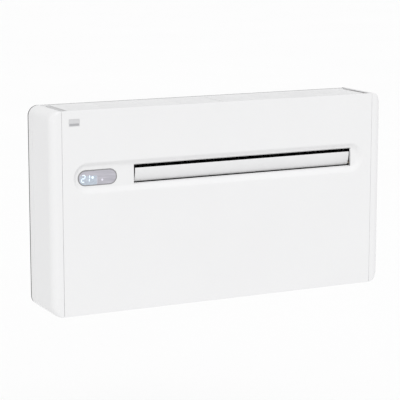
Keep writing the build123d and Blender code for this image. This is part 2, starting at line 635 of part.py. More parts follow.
def outlet_guard():
    """Finger guard across the nozzle: two rails and upright bars."""
    left, right = SLOT_LEFT + 0.2, SLOT_RIGHT - 0.2
    low, high = SLOT_LOW + 0.3, SLOT_HIGH - 0.3
    guard = block(left, right, *GUARD_Y, low, low + GUARD_RAIL)
    guard += block(left, right, *GUARD_Y, high - GUARD_RAIL, high)
    pitch = (right - left - 2 * GUARD_END_MARGIN) / (GUARD_BARS - 1)
    for i in range(GUARD_BARS):
        x = left + GUARD_END_MARGIN + pitch * i
        guard += block(x - GUARD_BAR_HALF, x + GUARD_BAR_HALF, *GUARD_Y, low, high)
    return guard


# ---------------------------------------------------------------- outlet flap


def flap_rod(radius, x0, x1):
    return rod_x(FLAP_PIVOT_Y, FLAP_PIVOT_Z, radius, x0, x1)


def outlet_flap():
    """Curved blade with a boss and pin at each end."""
    path = ThreePointArc(*FLAP_PROFILE)
    flap = side_extrude(trace(path, FLAP_T), FLAP_LEFT, FLAP_RIGHT)
    for x in (FLAP_LEFT, FLAP_RIGHT - FLAP_BOSS_T):
        flap += flap_rod(FLAP_BOSS_R, x, x + FLAP_BOSS_T)
    flap += flap_rod(FLAP_PIN_R, FLAP_LEFT - FLAP_LEFT_REACH, FLAP_LEFT + 2)
    return flap + flap_rod(FLAP_PIN_R, FLAP_RIGHT - 2, FLAP_RIGHT + FLAP_RIGHT_REACH)


def plain_bushes():
    """Bush of the supply fan's free end and the two bushes of the flap."""
    bushes = [tube_x(FAN_Y, FAN_Z, FAN_BUSH_R, FAN_SHAFT_R + RUN, FAN_LEFT - 14, FAN_LEFT - 3)]
    for x in (SLOT_LEFT - 6, SLOT_RIGHT + 0.1):
        bushes.append(tube_x(FLAP_PIVOT_Y, FLAP_PIVOT_Z, FLAP_BOSS_R, FLAP_PIN_R + RUN, x, x + 5.9))
    return group(bushes)


def flap_motor():
    """Geared stepper, its output set off-centre."""
    motor = rod_x(FLAP_PIVOT_Y + FLAP_MOTOR_OFFSET, FLAP_PIVOT_Z, FLAP_MOTOR_R, *FLAP_MOTOR_X)
    return motor - flap_rod(FLAP_PIN_R + RUN, FLAP_LEFT - FLAP_LEFT_REACH - 4, FLAP_MOTOR_X[1] + 1)


# ---------------------------------------------------------------- exhaust fan


def wheel_rod(radius, x0, x1):
    return rod_x(WHEEL_Y, WHEEL_Z, radius, x0, x1)


def fan_bulkhead():
    low, high = -HALF_H + SKIN + 0.1, PARTITION_TOP_Z - SKIN - 0.1
    plate = block(BULKHEAD_X, BULKHEAD_X + SKIN, INNER_FRONT_Y, -9.5, low, high)
    return plate - wheel_rod(INLET_R + INLET_WALL + 0.3, BULKHEAD_X - 1, BULKHEAD_X + 5)


def inlet_ring():
    outer = INLET_R + INLET_WALL
    ring = wheel_rod(outer, BULKHEAD_X - SKIN, WHEEL_LEFT + 0.6)
    ring += wheel_rod(outer + INLET_FLANGE, BULKHEAD_X - SKIN, BULKHEAD_X - 0.1)
    return ring - wheel_rod(INLET_R, BULKHEAD_X - 5, BULKHEAD_X + 16)


def exhaust_impeller():
    """Backward-leaning blades between a shroud ring and a back plate, and the shaft."""
    place = Pos(WHEEL_Y, WHEEL_Z)
    wheel = side_extrude(place * (Circle(WHEEL_R) - Circle(WHEEL_EYE_R)), WHEEL_LEFT, WHEEL_LEFT + SHEET)
    wheel += side_extrude(place * Circle(WHEEL_R), WHEEL_RIGHT - SHEET, WHEEL_RIGHT)
    wheel += wheel_rod(WHEEL_HUB_R, WHEEL_RIGHT - 14, WHEEL_RIGHT + 4)
    blade = Pos(WHEEL_BLADE_R, 0) * Rot(0, 0, WHEEL_BLADE_TURN) * Rectangle(WHEEL_BLADE_CHORD, WHEEL_BLADE_T)
    blades = [Rot(0, 0, 360 / WHEEL_BLADES * i) * blade for i in range(WHEEL_BLADES)]
    wheel += side_extrude(place * Sketch(children=blades), WHEEL_LEFT + 1, WHEEL_RIGHT - 1)
    wheel -= wheel_rod(WHEEL_SHAFT_R + 0.02, WHEEL_RIGHT - 20, WHEEL_RIGHT + 10)
    return group([wheel, wheel_rod(WHEEL_SHAFT_R, WHEEL_RIGHT - 12, WHEEL_RIGHT + 32)])


def exhaust_motor():
    left, right = WHEEL_MOTOR_X
    return wheel_rod(WHEEL_MOTOR_R, left, right) - wheel_rod(WHEEL_SHAFT_R + RUN, left - 4, right - 6)


def motor_cradle():
    left, right = WHEEL_MOTOR_X
    low, high = -HALF_H + SKIN + 0.1, WHEEL_Z - 12
    stand = block(left + 8, right - 8, WHEEL_Y - 30, WHEEL_Y + 30, low, high)
    return stand - wheel_rod(WHEEL_MOTOR_R + 0.1, left, right)


# ---------------------------------------------------------------- duct ports


def pin_z(side, radius, reach):
    """Upright round bar on one port's shutter axis."""
    return rod_z(side * PORT_X, SHUTTER_Y, radius, PORT_Z - reach, PORT_Z + reach)


def port_collar(side):
    """Sleeve that the wall duct pushes into, stepped to stop it short of the shutter."""
    x = side * PORT_X
    outer = PORT_R + PORT_WALL
    flange_y = PAN_FRONT_Y - 0.1
    sleeve = rod_y(x, PORT_Z, outer, COLLAR_BACK_Y, 0)
    sleeve += rod_y(x, PORT_Z, outer + COLLAR_FLANGE, flange_y - COLLAR_FLANGE, flange_y)
    sleeve -= rod_y(x, PORT_Z, PORT_R, -PORT_LENGTH, 1)
    sleeve -= rod_y(x, PORT_Z, PORT_R - PORT_STOP, COLLAR_BACK_Y - 3, 1)
    return sleeve - pin_z(side, SHUTTER_PIN_R + 0.02, SHUTTER_BORE_REACH)


def casing_outline(inset):
    """Front-view outline of the casing, moved in, with the recess between the caps over the deck."""
    outline = RectangleRounded(WIDTH - 2 * inset, HEIGHT - 2 * inset, CAP_CORNER_R - inset)
    drop = HALF_H - DECK_TOP_Z + inset - SEAL_INSET
    return outline - Pos(0, HALF_H) * Rectangle(2 * (SEAM_X + inset), 2 * drop)


def rear_seals():
    """Foam against the wall: a strip round the casing, a ring round each collar and two pads."""
    strip = casing_outline(SEAL_INSET) - casing_outline(SEAL_INSET + SEAL_WIDTH)
    seals = [extrude(front_sketch(strip, -WALL_GAP + 0.05), WALL_GAP - 0.05, dir=(0, 1, 0))]
    seals += [rod_y(x, PAD_Z, PAD_R, -WALL_GAP, 0) for x in (-PAD_X, PAD_X)]
    hole = PORT_R + PORT_WALL + 0.5
    seals += [tube_y(x, PORT_Z, PORT_SEAL_R, hole, -WALL_GAP + 0.1, 0) for x in (-PORT_X, PORT_X)]
    return group(seals)


def hinge_pins():
    """Steel pins of the two duct shutters and of the recirculation damper."""
    pins = [pin_z(side, SHUTTER_PIN_R, SHUTTER_PIN_REACH) for side in (-1, 1)]
    front, back = DAMPER_Y[0] - DAMPER_PIN_REACH, DAMPER_Y[1] + DAMPER_PIN_REACH
    return group([*pins, rod_y(DAMPER_AXIS_X, DAMPER_AXIS_Z, DAMPER_PIN_R, front, back)])


def shutter_blade(side, half):
    """Half disc on knuckles round the port's pin; half is -1 for the blade on the -X side."""
    x = side * PORT_X
    front, back = SHUTTER_Y - SHUTTER_T / 2, SHUTTER_Y + SHUTTER_T / 2
    near, far = sorted((x + half * BLADE_FROM_PIN, x + half * PORT_R))
    blade = rod_y(x, PORT_Z, SHUTTER_R, front, back)
    blade &= block(near, far, front - 1, back + 1, PORT_Z - PORT_R, PORT_Z + PORT_R)
    near, far = sorted((x + half * (SHUTTER_PIN_R - 1), x + half * (BLADE_FROM_PIN + 1.5)))
    for centre in KNUCKLES_LEFT if half < 0 else KNUCKLES_RIGHT:
        low, high = PORT_Z + centre - KNUCKLE_HALF, PORT_Z + centre + KNUCKLE_HALF
        blade += rod_z(x, SHUTTER_Y, KNUCKLE_R, low, high) + block(near, far, front, back, low, high)
    return blade - pin_z(side, SHUTTER_PIN_R + RUN, SHUTTER_BORE_REACH)


def damper_actuators():
    """Geared drives of the recirculation damper and of the two shutters."""
    x, z = DAMPER_AXIS_X, DAMPER_AXIS_Z
    front = DAMPER_Y[1] + DAMPER_PIN_REACH + 0.2
    left = x - DRIVE_LENGTH + 9
    boxes = [block(left, left + DRIVE_LENGTH, front, PAN_FRONT_Y - 4, PARTITION_TOP_Z + 0.1, z + DRIVE_HALF)]
    inner = PORT_X + PORT_R + SHUTTER_DRIVE_GAP
    for side in (-1, 1):
        near, far = sorted((side * inner, side * (inner + DRIVE_LENGTH)))
        boxes.append(block(near, far, *SHUTTER_DRIVE_Y, PORT_Z - DRIVE_HALF, PORT_Z + DRIVE_HALF))
    return group(boxes)


def fresh_filter():
    """Frame and pleated media across the fresh air chamber, ahead of the core."""
    wall = FRESH_WALL
    left, right = FRESH_FILTER_X
    front, back = INNER_FRONT_Y + 1, PAN_FRONT_Y - 5
    low, high = FRESH_FILTER_LOW_Z, PARTITION_TOP_Z - SKIN - 0.3
    frame = block(left, right, front, back, low, high)
    frame -= block(left - 8, right + 12, front + wall, back - wall, low + wall, high - wall)
    low, high = low + wall + 0.5, high - wall - 0.5
    pitch = (high - low) / FRESH_PLEATS
    folds = range(2 * FRESH_PLEATS + 1)
    near_side = [(left + 3.0 + FRESH_PLEAT_DEPTH * (i % 2), low + pitch * i / 2) for i in folds]
    far_side = [(x + FRESH_FLEECE_T, z) for x, z in reversed(near_side)]
    sheet = make_face(Polyline(*near_side, *far_side, close=True))
    front, back = front + wall + 0.3, back - wall - 0.3
    return group([frame, extrude(front_sketch(sheet, front), back - front, dir=(0, 1, 0))])


# ---------------------------------------------------------------- display and electronics


def display_lens():
    outline = stadium(DISPLAY_X, DISPLAY_Z, DISPLAY_W - 0.6, DISPLAY_H - 0.6)
    return extrude(front_sketch(outline, DISH_FLOOR_Y - 0.8), SKIN + 0.7, dir=(0, 1, 0))


def display_bezel():
    """Dark carrier behind the lens."""
    outer = stadium(DISPLAY_X, DISPLAY_Z, DISPLAY_W + 6, DISPLAY_H + 6)
    inner = stadium(DISPLAY_X, DISPLAY_Z, DISPLAY_W - 8, DISPLAY_H - 8)
    return extrude(front_sketch(outer - inner, DISH_FLOOR_Y + SKIN + 0.1), BEZEL_T, dir=(0, 1, 0))


def display_board():
    """Circuit board behind the bezel, with its row of light sources."""
    board_y = DISH_FLOOR_Y + SKIN + BEZEL_T + 0.2
    half_x, half_z = DISPLAY_BOARD_HALF
    board = Pos(DISPLAY_X, board_y + 0.8, DISPLAY_Z) * Box(2 * half_x, 1.6, 2 * half_z)
    led = Box(2 * LED_HALF, 1.45, 2 * LED_HALF)
    places = [DISPLAY_X + LED_PITCH * (i - (LED_COUNT - 1) / 2) for i in range(LED_COUNT)]
    return group([board, *[Pos(x, board_y - 0.775, DISPLAY_Z) * led for x in places]])


def control_box():
    """Open-fronted box in the supply chamber."""
    (left, right), (front, back), (low, high) = CONTROL_X, CONTROL_Y, CONTROL_Z
    box = block(left, right, front, back, low, high)
    return box - block(left + SHEET, right - SHEET, front - 1, back - SHEET, low + SHEET, high - SHEET)


def control_lid():
    """Lid with vent slits."""
    (left, right), (low, high) = CONTROL_X, CONTROL_Z
    lid = block(left, right, *CONTROL_LID_Y, low, high)
    for i in range(VENTS):
        z = low + VENT_MARGIN + VENT_PITCH * i
        lid -= block(left + VENT_MARGIN, right - VENT_MARGIN, -DEPTH, CONTROL_Y[0] + 1, z, z + VENT_W)
    return lid


def main_board():
    """Board with a transformer, relays, capacitors, a chip and the terminal block."""
    face = BOARD_Y[0] - 0.05
    (left, right), (low, high) = CONTROL_X, CONTROL_Z
    side, end = BOARD_MARGIN
    board = block(left + side, right - side, *BOARD_Y, low + end, high - end)
    parts = [
        board,
        block(*TRANSFORMER_X, TRANSFORMER_FRONT_Y, face, *TRANSFORMER_Z),
        block(*CHIP_X, CHIP_FRONT_Y, face, *CHIP_Z),
    ]
    for i in range(RELAYS):
        near, far = (x + RELAY_PITCH * i for x in RELAY_X)
        parts.append(block(near, far, RELAY_FRONT_Y, face, *RELAY_Z))
    for i in range(CAPACITORS):
        x = CAPACITOR_X + CAPACITOR_PITCH * i
        parts.append(rod_y(x, CAPACITOR_Z, CAPACITOR_R, CAPACITOR_FRONT_Y, face))
    terminal_front, pocket_floor = TERMINAL_Y
    terminals = block(*TERMINAL_X, terminal_front, face, *TERMINAL_Z)
    for i in range(TERMINALS):
        z = TERMINAL_FIRST_Z + TERMINAL_PITCH * i
        terminals -= rod_y(sum(TERMINAL_X) / 2, z, TERMINAL_R, terminal_front - 1, pocket_floor)
    return group([*parts, terminals])


def cable_gland():
    """Nut and body through the back pan, with the hole that a supply cable would pass."""
    body = rod_y(GLAND_X, GLAND_Z, GLAND_R + GLAND_WALL, -24, -0.5)
    nut = Pos(GLAND_X, GLAND_Z) * RegularPolygon(GLAND_R + 8, 6)
    body += extrude(front_sketch(nut, PAN_FRONT_Y - 0.1), 6, dir=(0, -1, 0))
    return body - rod_y(GLAND_X, GLAND_Z, GLAND_R, -30, 5)


def motor_lead():
    """Supply motor's lead, from the control box up through a grommet in the deck."""
    low, high = FAN_DECK_Z
    grommet = rod_z(LEAD_X, LEAD_Y, GROMMET_R, low - 1, high + 1)
    grommet += rod_z(LEAD_X, LEAD_Y, GROMMET_LIP_R, high + 0.1, high + 2)
    grommet += rod_z(LEAD_X, LEAD_Y, GROMMET_LIP_R, low - 2, low - 0.1)
    grommet -= rod_z(LEAD_X, LEAD_Y, LEAD_R + 0.05, low - 8, high + 10)
    return group([rod_z(LEAD_X, LEAD_Y, LEAD_R, CONTROL_Z[1] + 0.1, LEAD_TOP_Z), grommet])


def temperature_probes():
    """One probe in each air path."""
    foot_y = PAN_FRONT_Y - 0.1
    probes = []
    for x, z in PROBE_PLACES:
        probes.append(rod_y(x, z, PROBE_R, -36, foot_y) + rod_y(x, z, PROBE_FOOT_R, foot_y - 4, foot_y))
    return group(probes)


def housing_screws():
    right = [cap_screw(y, z) for y, z in CAP_SCREWS]
    return group(right + [mirror_x(screw) for screw in right] + [back_screw(x, z) for x, z in BACK_SCREWS])


PIECES = {
    "front_panel": front_panel,
    "left_end_cap": lambda: mirror_x(right_cap()),
    "right_end_cap": right_cap,
    "top_frame": top_frame,
    "bottom_cover": bottom_cover,
    "back_pan": back_pan,
    "wall_bracket": wall_bracket,
    "rear_seals": rear_seals,
    "panel_clips": panel_clips,
    "emblem": emblem,
    "housing_screws": housing_screws,
    "left_intake_grille": lambda: intake_grille(-1),
    "right_intake_grille": lambda: intake_grille(1),
    "left_filter_frame": lambda: filter_frame(-1),
    "right_filter_frame": lambda: filter_frame(1),
    "left_filter_media": lambda: filter_media(-1),
    "right_filter_media": lambda: filter_media(1),
    "exchanger_plates": exchanger_plates,
    "exchanger_rails": exchanger_rails,
    "exchanger_ends": exchanger_ends,
    "left_partition": left_partition,
    "right_partition": right_partition,
    "recirculation_damper": recirculation_damper,
    "hinge_pins": hinge_pins,
    "damper_actuators": damper_actuators,
    "condensate_tray": condensate_tray,
    "drain_nozzle": drain_nozzle,
    "supply_deck": supply_deck,
    "front_insulation": front_insulation,
    "supply_impeller": supply_impeller,
    "supply_motor": supply_motor,
    "plain_bushes": plain_bushes,
    "fan_end_plates": fan_end_plates,
    "scroll_housing": scroll_housing,
    "stabiliser": stabiliser,
    "outlet_nozzle": outlet_nozzle,
    "outlet_guard": outlet_guard,
    "outlet_flap": outlet_flap,
    "flap_motor": flap_motor,
    "fan_bulkhead": fan_bulkhead,
    "inlet_ring": inlet_ring,
    "exhaust_impeller": exhaust_impeller,
    "exhaust_motor": exhaust_motor,
    "motor_cradle": motor_cradle,
    "fresh_port_collar": lambda: port_collar(-1),
    "exhaust_port_collar": lambda: port_collar(1),
    "fresh_shutter_left": lambda: shutter_blade(-1, -1),
    "fresh_shutter_right": lambda: shutter_blade(-1, 1),
    "exhaust_shutter_left": lambda: shutter_blade(1, -1),
    "exhaust_shutter_right": lambda: shutter_blade(1, 1),
    "fresh_filter": fresh_filter,
    "display_lens": display_lens,
    "display_bezel": display_bezel,
    "display_board": display_board,
    "control_box": control_box,
    "control_lid": control_lid,
    "main_board": main_board,
    "cable_gland": cable_gland,
    "motor_lead": motor_lead,
    "temperature_probes": temperature_probes,
}

os.makedirs("parts", exist_ok=True)
for name, make in PIECES.items():
    shape = make()
    print(name, len(shape.solids()), round(shape.volume), all(s.is_valid for s in shape.solids()))
    export_step(shape, f"parts/{name}.step")
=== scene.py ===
# Visible model of the wall-hung heat recovery unit, built round its CAD frame. Shapes are worked out in
# millimetres, in the frame's own axes, and turned into metres when each piece is finished.

import json
import math

import bmesh
import bpy
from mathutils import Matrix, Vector


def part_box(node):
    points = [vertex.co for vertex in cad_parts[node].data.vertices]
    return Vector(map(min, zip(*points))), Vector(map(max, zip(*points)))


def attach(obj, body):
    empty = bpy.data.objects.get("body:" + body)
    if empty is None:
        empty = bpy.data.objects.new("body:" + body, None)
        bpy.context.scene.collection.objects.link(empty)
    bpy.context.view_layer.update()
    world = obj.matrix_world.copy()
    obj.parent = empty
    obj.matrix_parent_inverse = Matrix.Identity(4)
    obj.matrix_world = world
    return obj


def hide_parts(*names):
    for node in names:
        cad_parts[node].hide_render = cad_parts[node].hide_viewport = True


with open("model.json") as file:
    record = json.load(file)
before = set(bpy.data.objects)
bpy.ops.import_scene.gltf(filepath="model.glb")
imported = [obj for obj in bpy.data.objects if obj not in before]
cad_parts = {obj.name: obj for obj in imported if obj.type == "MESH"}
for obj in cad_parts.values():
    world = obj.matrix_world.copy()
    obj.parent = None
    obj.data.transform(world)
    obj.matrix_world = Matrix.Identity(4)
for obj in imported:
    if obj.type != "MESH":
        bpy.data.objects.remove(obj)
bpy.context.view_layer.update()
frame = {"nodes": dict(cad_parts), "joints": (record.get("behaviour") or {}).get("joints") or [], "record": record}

MM = 0.001


def span(node):
    """Lowest and highest corner of a CAD node, in millimetres."""
    low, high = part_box(node)
    return low / MM, high / MM


# ---------------------------------------------------------------- mesh tools


def new_piece(name, bm, body, slot, nodes=(), smooth_angle=32.0, material=None):
    """Turns a bmesh in millimetres into a finished piece that rides on a CAD body."""
    bmesh.ops.recalc_face_normals(bm, faces=bm.faces)
    bmesh.ops.scale(bm, vec=(MM, MM, MM), verts=bm.verts)
    mesh = bpy.data.meshes.new(name)
    bm.to_mesh(mesh)
    bm.free()
    mesh.shade_smooth()
    mesh.set_sharp_from_angle(angle=math.radians(smooth_angle))
    piece = bpy.data.objects.new(name, mesh)
    bpy.context.scene.collection.objects.link(piece)
    mesh.materials.append(material or FINISH[slot])
    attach(piece, body)
    if nodes:
        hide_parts(*nodes)
    return piece


def thicken(bm, thickness):
    """Gives an open sheet a wall behind it and closes its rims."""
    bmesh.ops.recalc_face_normals(bm, faces=bm.faces)
    mesh = bpy.data.meshes.new("sheet")
    bm.to_mesh(mesh)
    bm.free()
    sheet = bpy.data.objects.new("sheet", mesh)
    bpy.context.scene.collection.objects.link(sheet)
    wall = sheet.modifiers.new("wall", "SOLIDIFY")
    wall.thickness = thickness
    wall.offset = -1.0
    wall.use_even_offset = True
    solid = bmesh.new()
    solid.from_object(sheet, bpy.context.evaluated_depsgraph_get())
    bpy.data.objects.remove(sheet)
    bpy.data.meshes.remove(mesh)
    return solid


def add_ring(bm, points):
    return [bm.verts.new(point) for point in points]


def bridge(bm, first, second):
    """Quads between two closed rings with as many points each."""
    count = len(first)
    for i in range(count):
        j = (i + 1) % count
        bm.faces.new((first[i], first[j], second[j], second[i]))


def stack(bm, loops):
    """Bridges loop after loop; gives the first and the last ring."""
    rings = [add_ring(bm, points) for points in loops]
    for first, second in zip(rings, rings[1:]):
        bridge(bm, first, second)
    return rings[0], rings[-1]


def fill(bm, rings):
    """Flat faces inside the first ring and round the others."""
    edges = []
    for ring in rings:
        for i, vert in enumerate(ring):
            other = ring[(i + 1) % len(ring)]
            edges.append(bm.edges.get((vert, other)) or bm.edges.new((vert, other)))
    bmesh.ops.triangle_fill(bm, use_beauty=True, use_dissolve=False, edges=edges)


def rounded_rect(left, right, low, high, radius, steps=5):
    """Closed outline with rounded corners, as (u, v) points."""
    radius = min(radius, (right - left) / 2 - 0.01, (high - low) / 2 - 0.01)
    corners = (
        (right - radius, high - radius, 0),
        (left + radius, high - radius, 90),
        (left + radius, low + radius, 180),
        (right - radius, low + radius, 270),
    )
    points = []
    for u, v, start in corners:
        for i in range(steps + 1):
            angle = math.radians(start + 90 * i / steps)
            points.append((u + radius * math.cos(angle), v + radius * math.sin(angle)))
    return points


def stadium(left, right, low, high, steps=20, runs=12):
    """Closed outline with half-round ends and divided straight runs."""
    radius = (high - low) / 2
    middle = (low + high) / 2
    points = []
    for centre, start, begin, end, v in (
        (right - radius, -90, right - radius, left + radius, high),
        (left + radius, 90, left + radius, right - radius, low),
    ):
        for i in range(steps + 1):
            angle = math.radians(start + 180 * i / steps)
            points.append((centre + radius * math.cos(angle), middle + radius * math.sin(angle)))
        for i in range(1, runs):
            points.append((begin + (end - begin) * i / runs, v))
    return points


def circle(u, v, radius, steps=48):
    """Closed circle as (u, v) points."""
    turns = [2 * math.pi * i / steps for i in range(steps)]
    return [(u + radius * math.cos(t), v + radius * math.sin(t)) for t in turns]


def round_over(radius, steps=4):
    """Steps of a rounded edge, as (outward offset from the wall, depth below the face)."""
    turns = [math.radians(90 * i / steps) for i in range(steps + 1)]
    return [(radius * (1 - math.sin(t)), radius * (1 - math.cos(t))) for t in turns]


def smoothstep(t):
    return t * t * (3 - 2 * t)


def front(points, y):
    """Puts outline points in the front view at depth y."""
    return [(u, y, v) for u, v in points]


def flat(points, z):
    """Puts outline points in the plan view at height z."""
    return [(u, v, z) for u, v in points]


def end_on(points, x):
    """Puts outline points, given as (y, z), in the end view at x."""
    return [(x, u, v) for u, v in points]


def grow(box, by):
    left, right, low, high = box
    return left - by, right + by, low - by, high + by


def mix(a, b, t):
    return tuple(p + (q - p) * t for p, q in zip(a, b))


def box_shape(box, radius, steps=4):
    """Function that gives a rounded box's outline, grown by a distance."""
    return lambda by: rounded_rect(*grow(box, by), max(0.2, radius + by), steps)


def round_shape(u, v, radius, steps=48):
    return lambda by: circle(u, v, radius + by, steps)


def cap_ends(bm, first, last):
    bm.faces.new(first)
    bm.faces.new(last)


def slab(bm, put, shape, face, back, edge):
    """Closed slab whose two faces have rounded edges."""
    way = math.copysign(1, back - face)
    steps = round_over(edge)
    loops = [put(shape(-out), face + way * depth) for out, depth in steps]
    loops += [put(shape(-out), back - way * depth) for out, depth in reversed(steps)]
    cap_ends(bm, *stack(bm, loops))


def plate(bm, put, shape, face, back, holes=(), pressings=(), edge=0.8, lip=0.6):
    """Closed plate: rounded face edges, holes through it, and (shape, depth) pressings in its face."""
    way = math.copysign(1, back - face)
    loops = [put(shape(-edge - 1.0), face)]
    loops += [put(shape(-out), face + way * depth) for out, depth in round_over(edge)]
    loops.append(put(shape(0.0), back))
    first, last = stack(bm, loops)
    faces, backs = [first], [last]
    for hole in holes:
        loops = [put(hole(lip + 0.8), face)]
        loops += [put(hole(out), face + way * depth) for out, depth in round_over(lip)]
        loops.append(put(hole(0.0), back))
        first, last = stack(bm, loops)
        faces.append(first)
        backs.append(last)
    slope_steps = 5
    for pressing, deep in pressings:
        shares = [i / slope_steps for i in range(slope_steps + 1)]
        loops = [put(pressing(1.5 - 3.0 * t), face + way * deep * smoothstep(t)) for t in shares]
        first, last = stack(bm, loops)
        faces.append(first)
        bm.faces.new(last)
    fill(bm, faces)
    fill(bm, backs)


# ---------------------------------------------------------------- materials


def node_tree(name):
    material = bpy.data.materials.new(name)
    material.use_nodes = True
    tree = material.node_tree
    return material, tree, tree.nodes["Principled BSDF"]


def noise(tree, scale, detail=3.0, roughness=0.5, stretch=(1, 1, 1)):
    """Noise in the object's own coordinates; scale is in cycles per metre."""
    place = tree.nodes.new("ShaderNodeTexCoord")
    mapping = tree.nodes.new("ShaderNodeMapping")
    mapping.inputs["Scale"].default_value = stretch
    texture = tree.nodes.new("ShaderNodeTexNoise")
    texture.inputs["Scale"].default_value = scale
    texture.inputs["Detail"].default_value = detail
    texture.inputs["Roughness"].default_value = roughness
    tree.links.new(place.outputs["Object"], mapping.inputs["Vector"])
    tree.links.new(mapping.outputs["Vector"], texture.inputs["Vector"])
    return texture.outputs["Fac"]


def patches(tree, scale):
    """Flat random patches, scale of them per metre."""
    place = tree.nodes.new("ShaderNodeTexCoord")
    texture = tree.nodes.new("ShaderNodeTexVoronoi")
    texture.inputs["Scale"].default_value = scale
    split = tree.nodes.new("ShaderNodeSeparateColor")
    tree.links.new(place.outputs["Object"], texture.inputs["Vector"])
    tree.links.new(texture.outputs["Color"], split.inputs["Color"])
    return split.outputs["Red"]


def ramp(tree, source, low, high, start=0.3, end=0.7):
    """Colour ramp between two colours."""
    node = tree.nodes.new("ShaderNodeValToRGB")
    node.color_ramp.elements[0].position = start
    node.color_ramp.elements[0].color = (*low, 1)
    node.color_ramp.elements[1].position = end
    node.color_ramp.elements[1].color = (*high, 1)
    tree.links.new(source, node.inputs["Fac"])
    return node.outputs["Color"]


def grade(tree, source, low, high):
    """Maps 0 to 1 onto low to high."""
    node = tree.nodes.new("ShaderNodeMapRange")
    node.inputs["To Min"].default_value = low
    node.inputs["To Max"].default_value = high
    tree.links.new(source, node.inputs["Value"])
    return node.outputs["Result"]


def bump(tree, shader, source, strength, distance):
    node = tree.nodes.new("ShaderNodeBump")
    node.inputs["Strength"].default_value = strength
    node.inputs["Distance"].default_value = distance
    tree.links.new(source, node.inputs["Height"])
    tree.links.new(node.outputs["Normal"], shader.inputs["Normal"])


def surface(name, colour, rough, metal=0.0, tint=0.03, blotch=9.0, grain=1400.0, grain_depth=0.00003,
            stretch=(1, 1, 1), spread=0.05, strength=0.35, coat=0.0, cells=False):
    """Procedural finish: a colour drift or cells such as spangle, uneven gloss and a fine surface grain."""
    material, tree, shader = node_tree(name)
    drift = patches(tree, blotch) if cells else noise(tree, blotch, 4.0)
    low = tuple(c * (1 - tint) for c in colour)
    high = tuple(min(1.0, c * (1 + tint)) for c in colour)
    tree.links.new(ramp(tree, drift, low, high), shader.inputs["Base Color"])
    texture = noise(tree, grain, 2.0, 0.6, stretch)
    tree.links.new(grade(tree, texture, rough - spread, rough + spread), shader.inputs["Roughness"])
    bump(tree, shader, texture, strength, grain_depth)
    shader.inputs["Metallic"].default_value = metal
    if coat:
        shader.inputs["Coat Weight"].default_value = coat
        shader.inputs["Coat Roughness"].default_value = 0.06
    return material


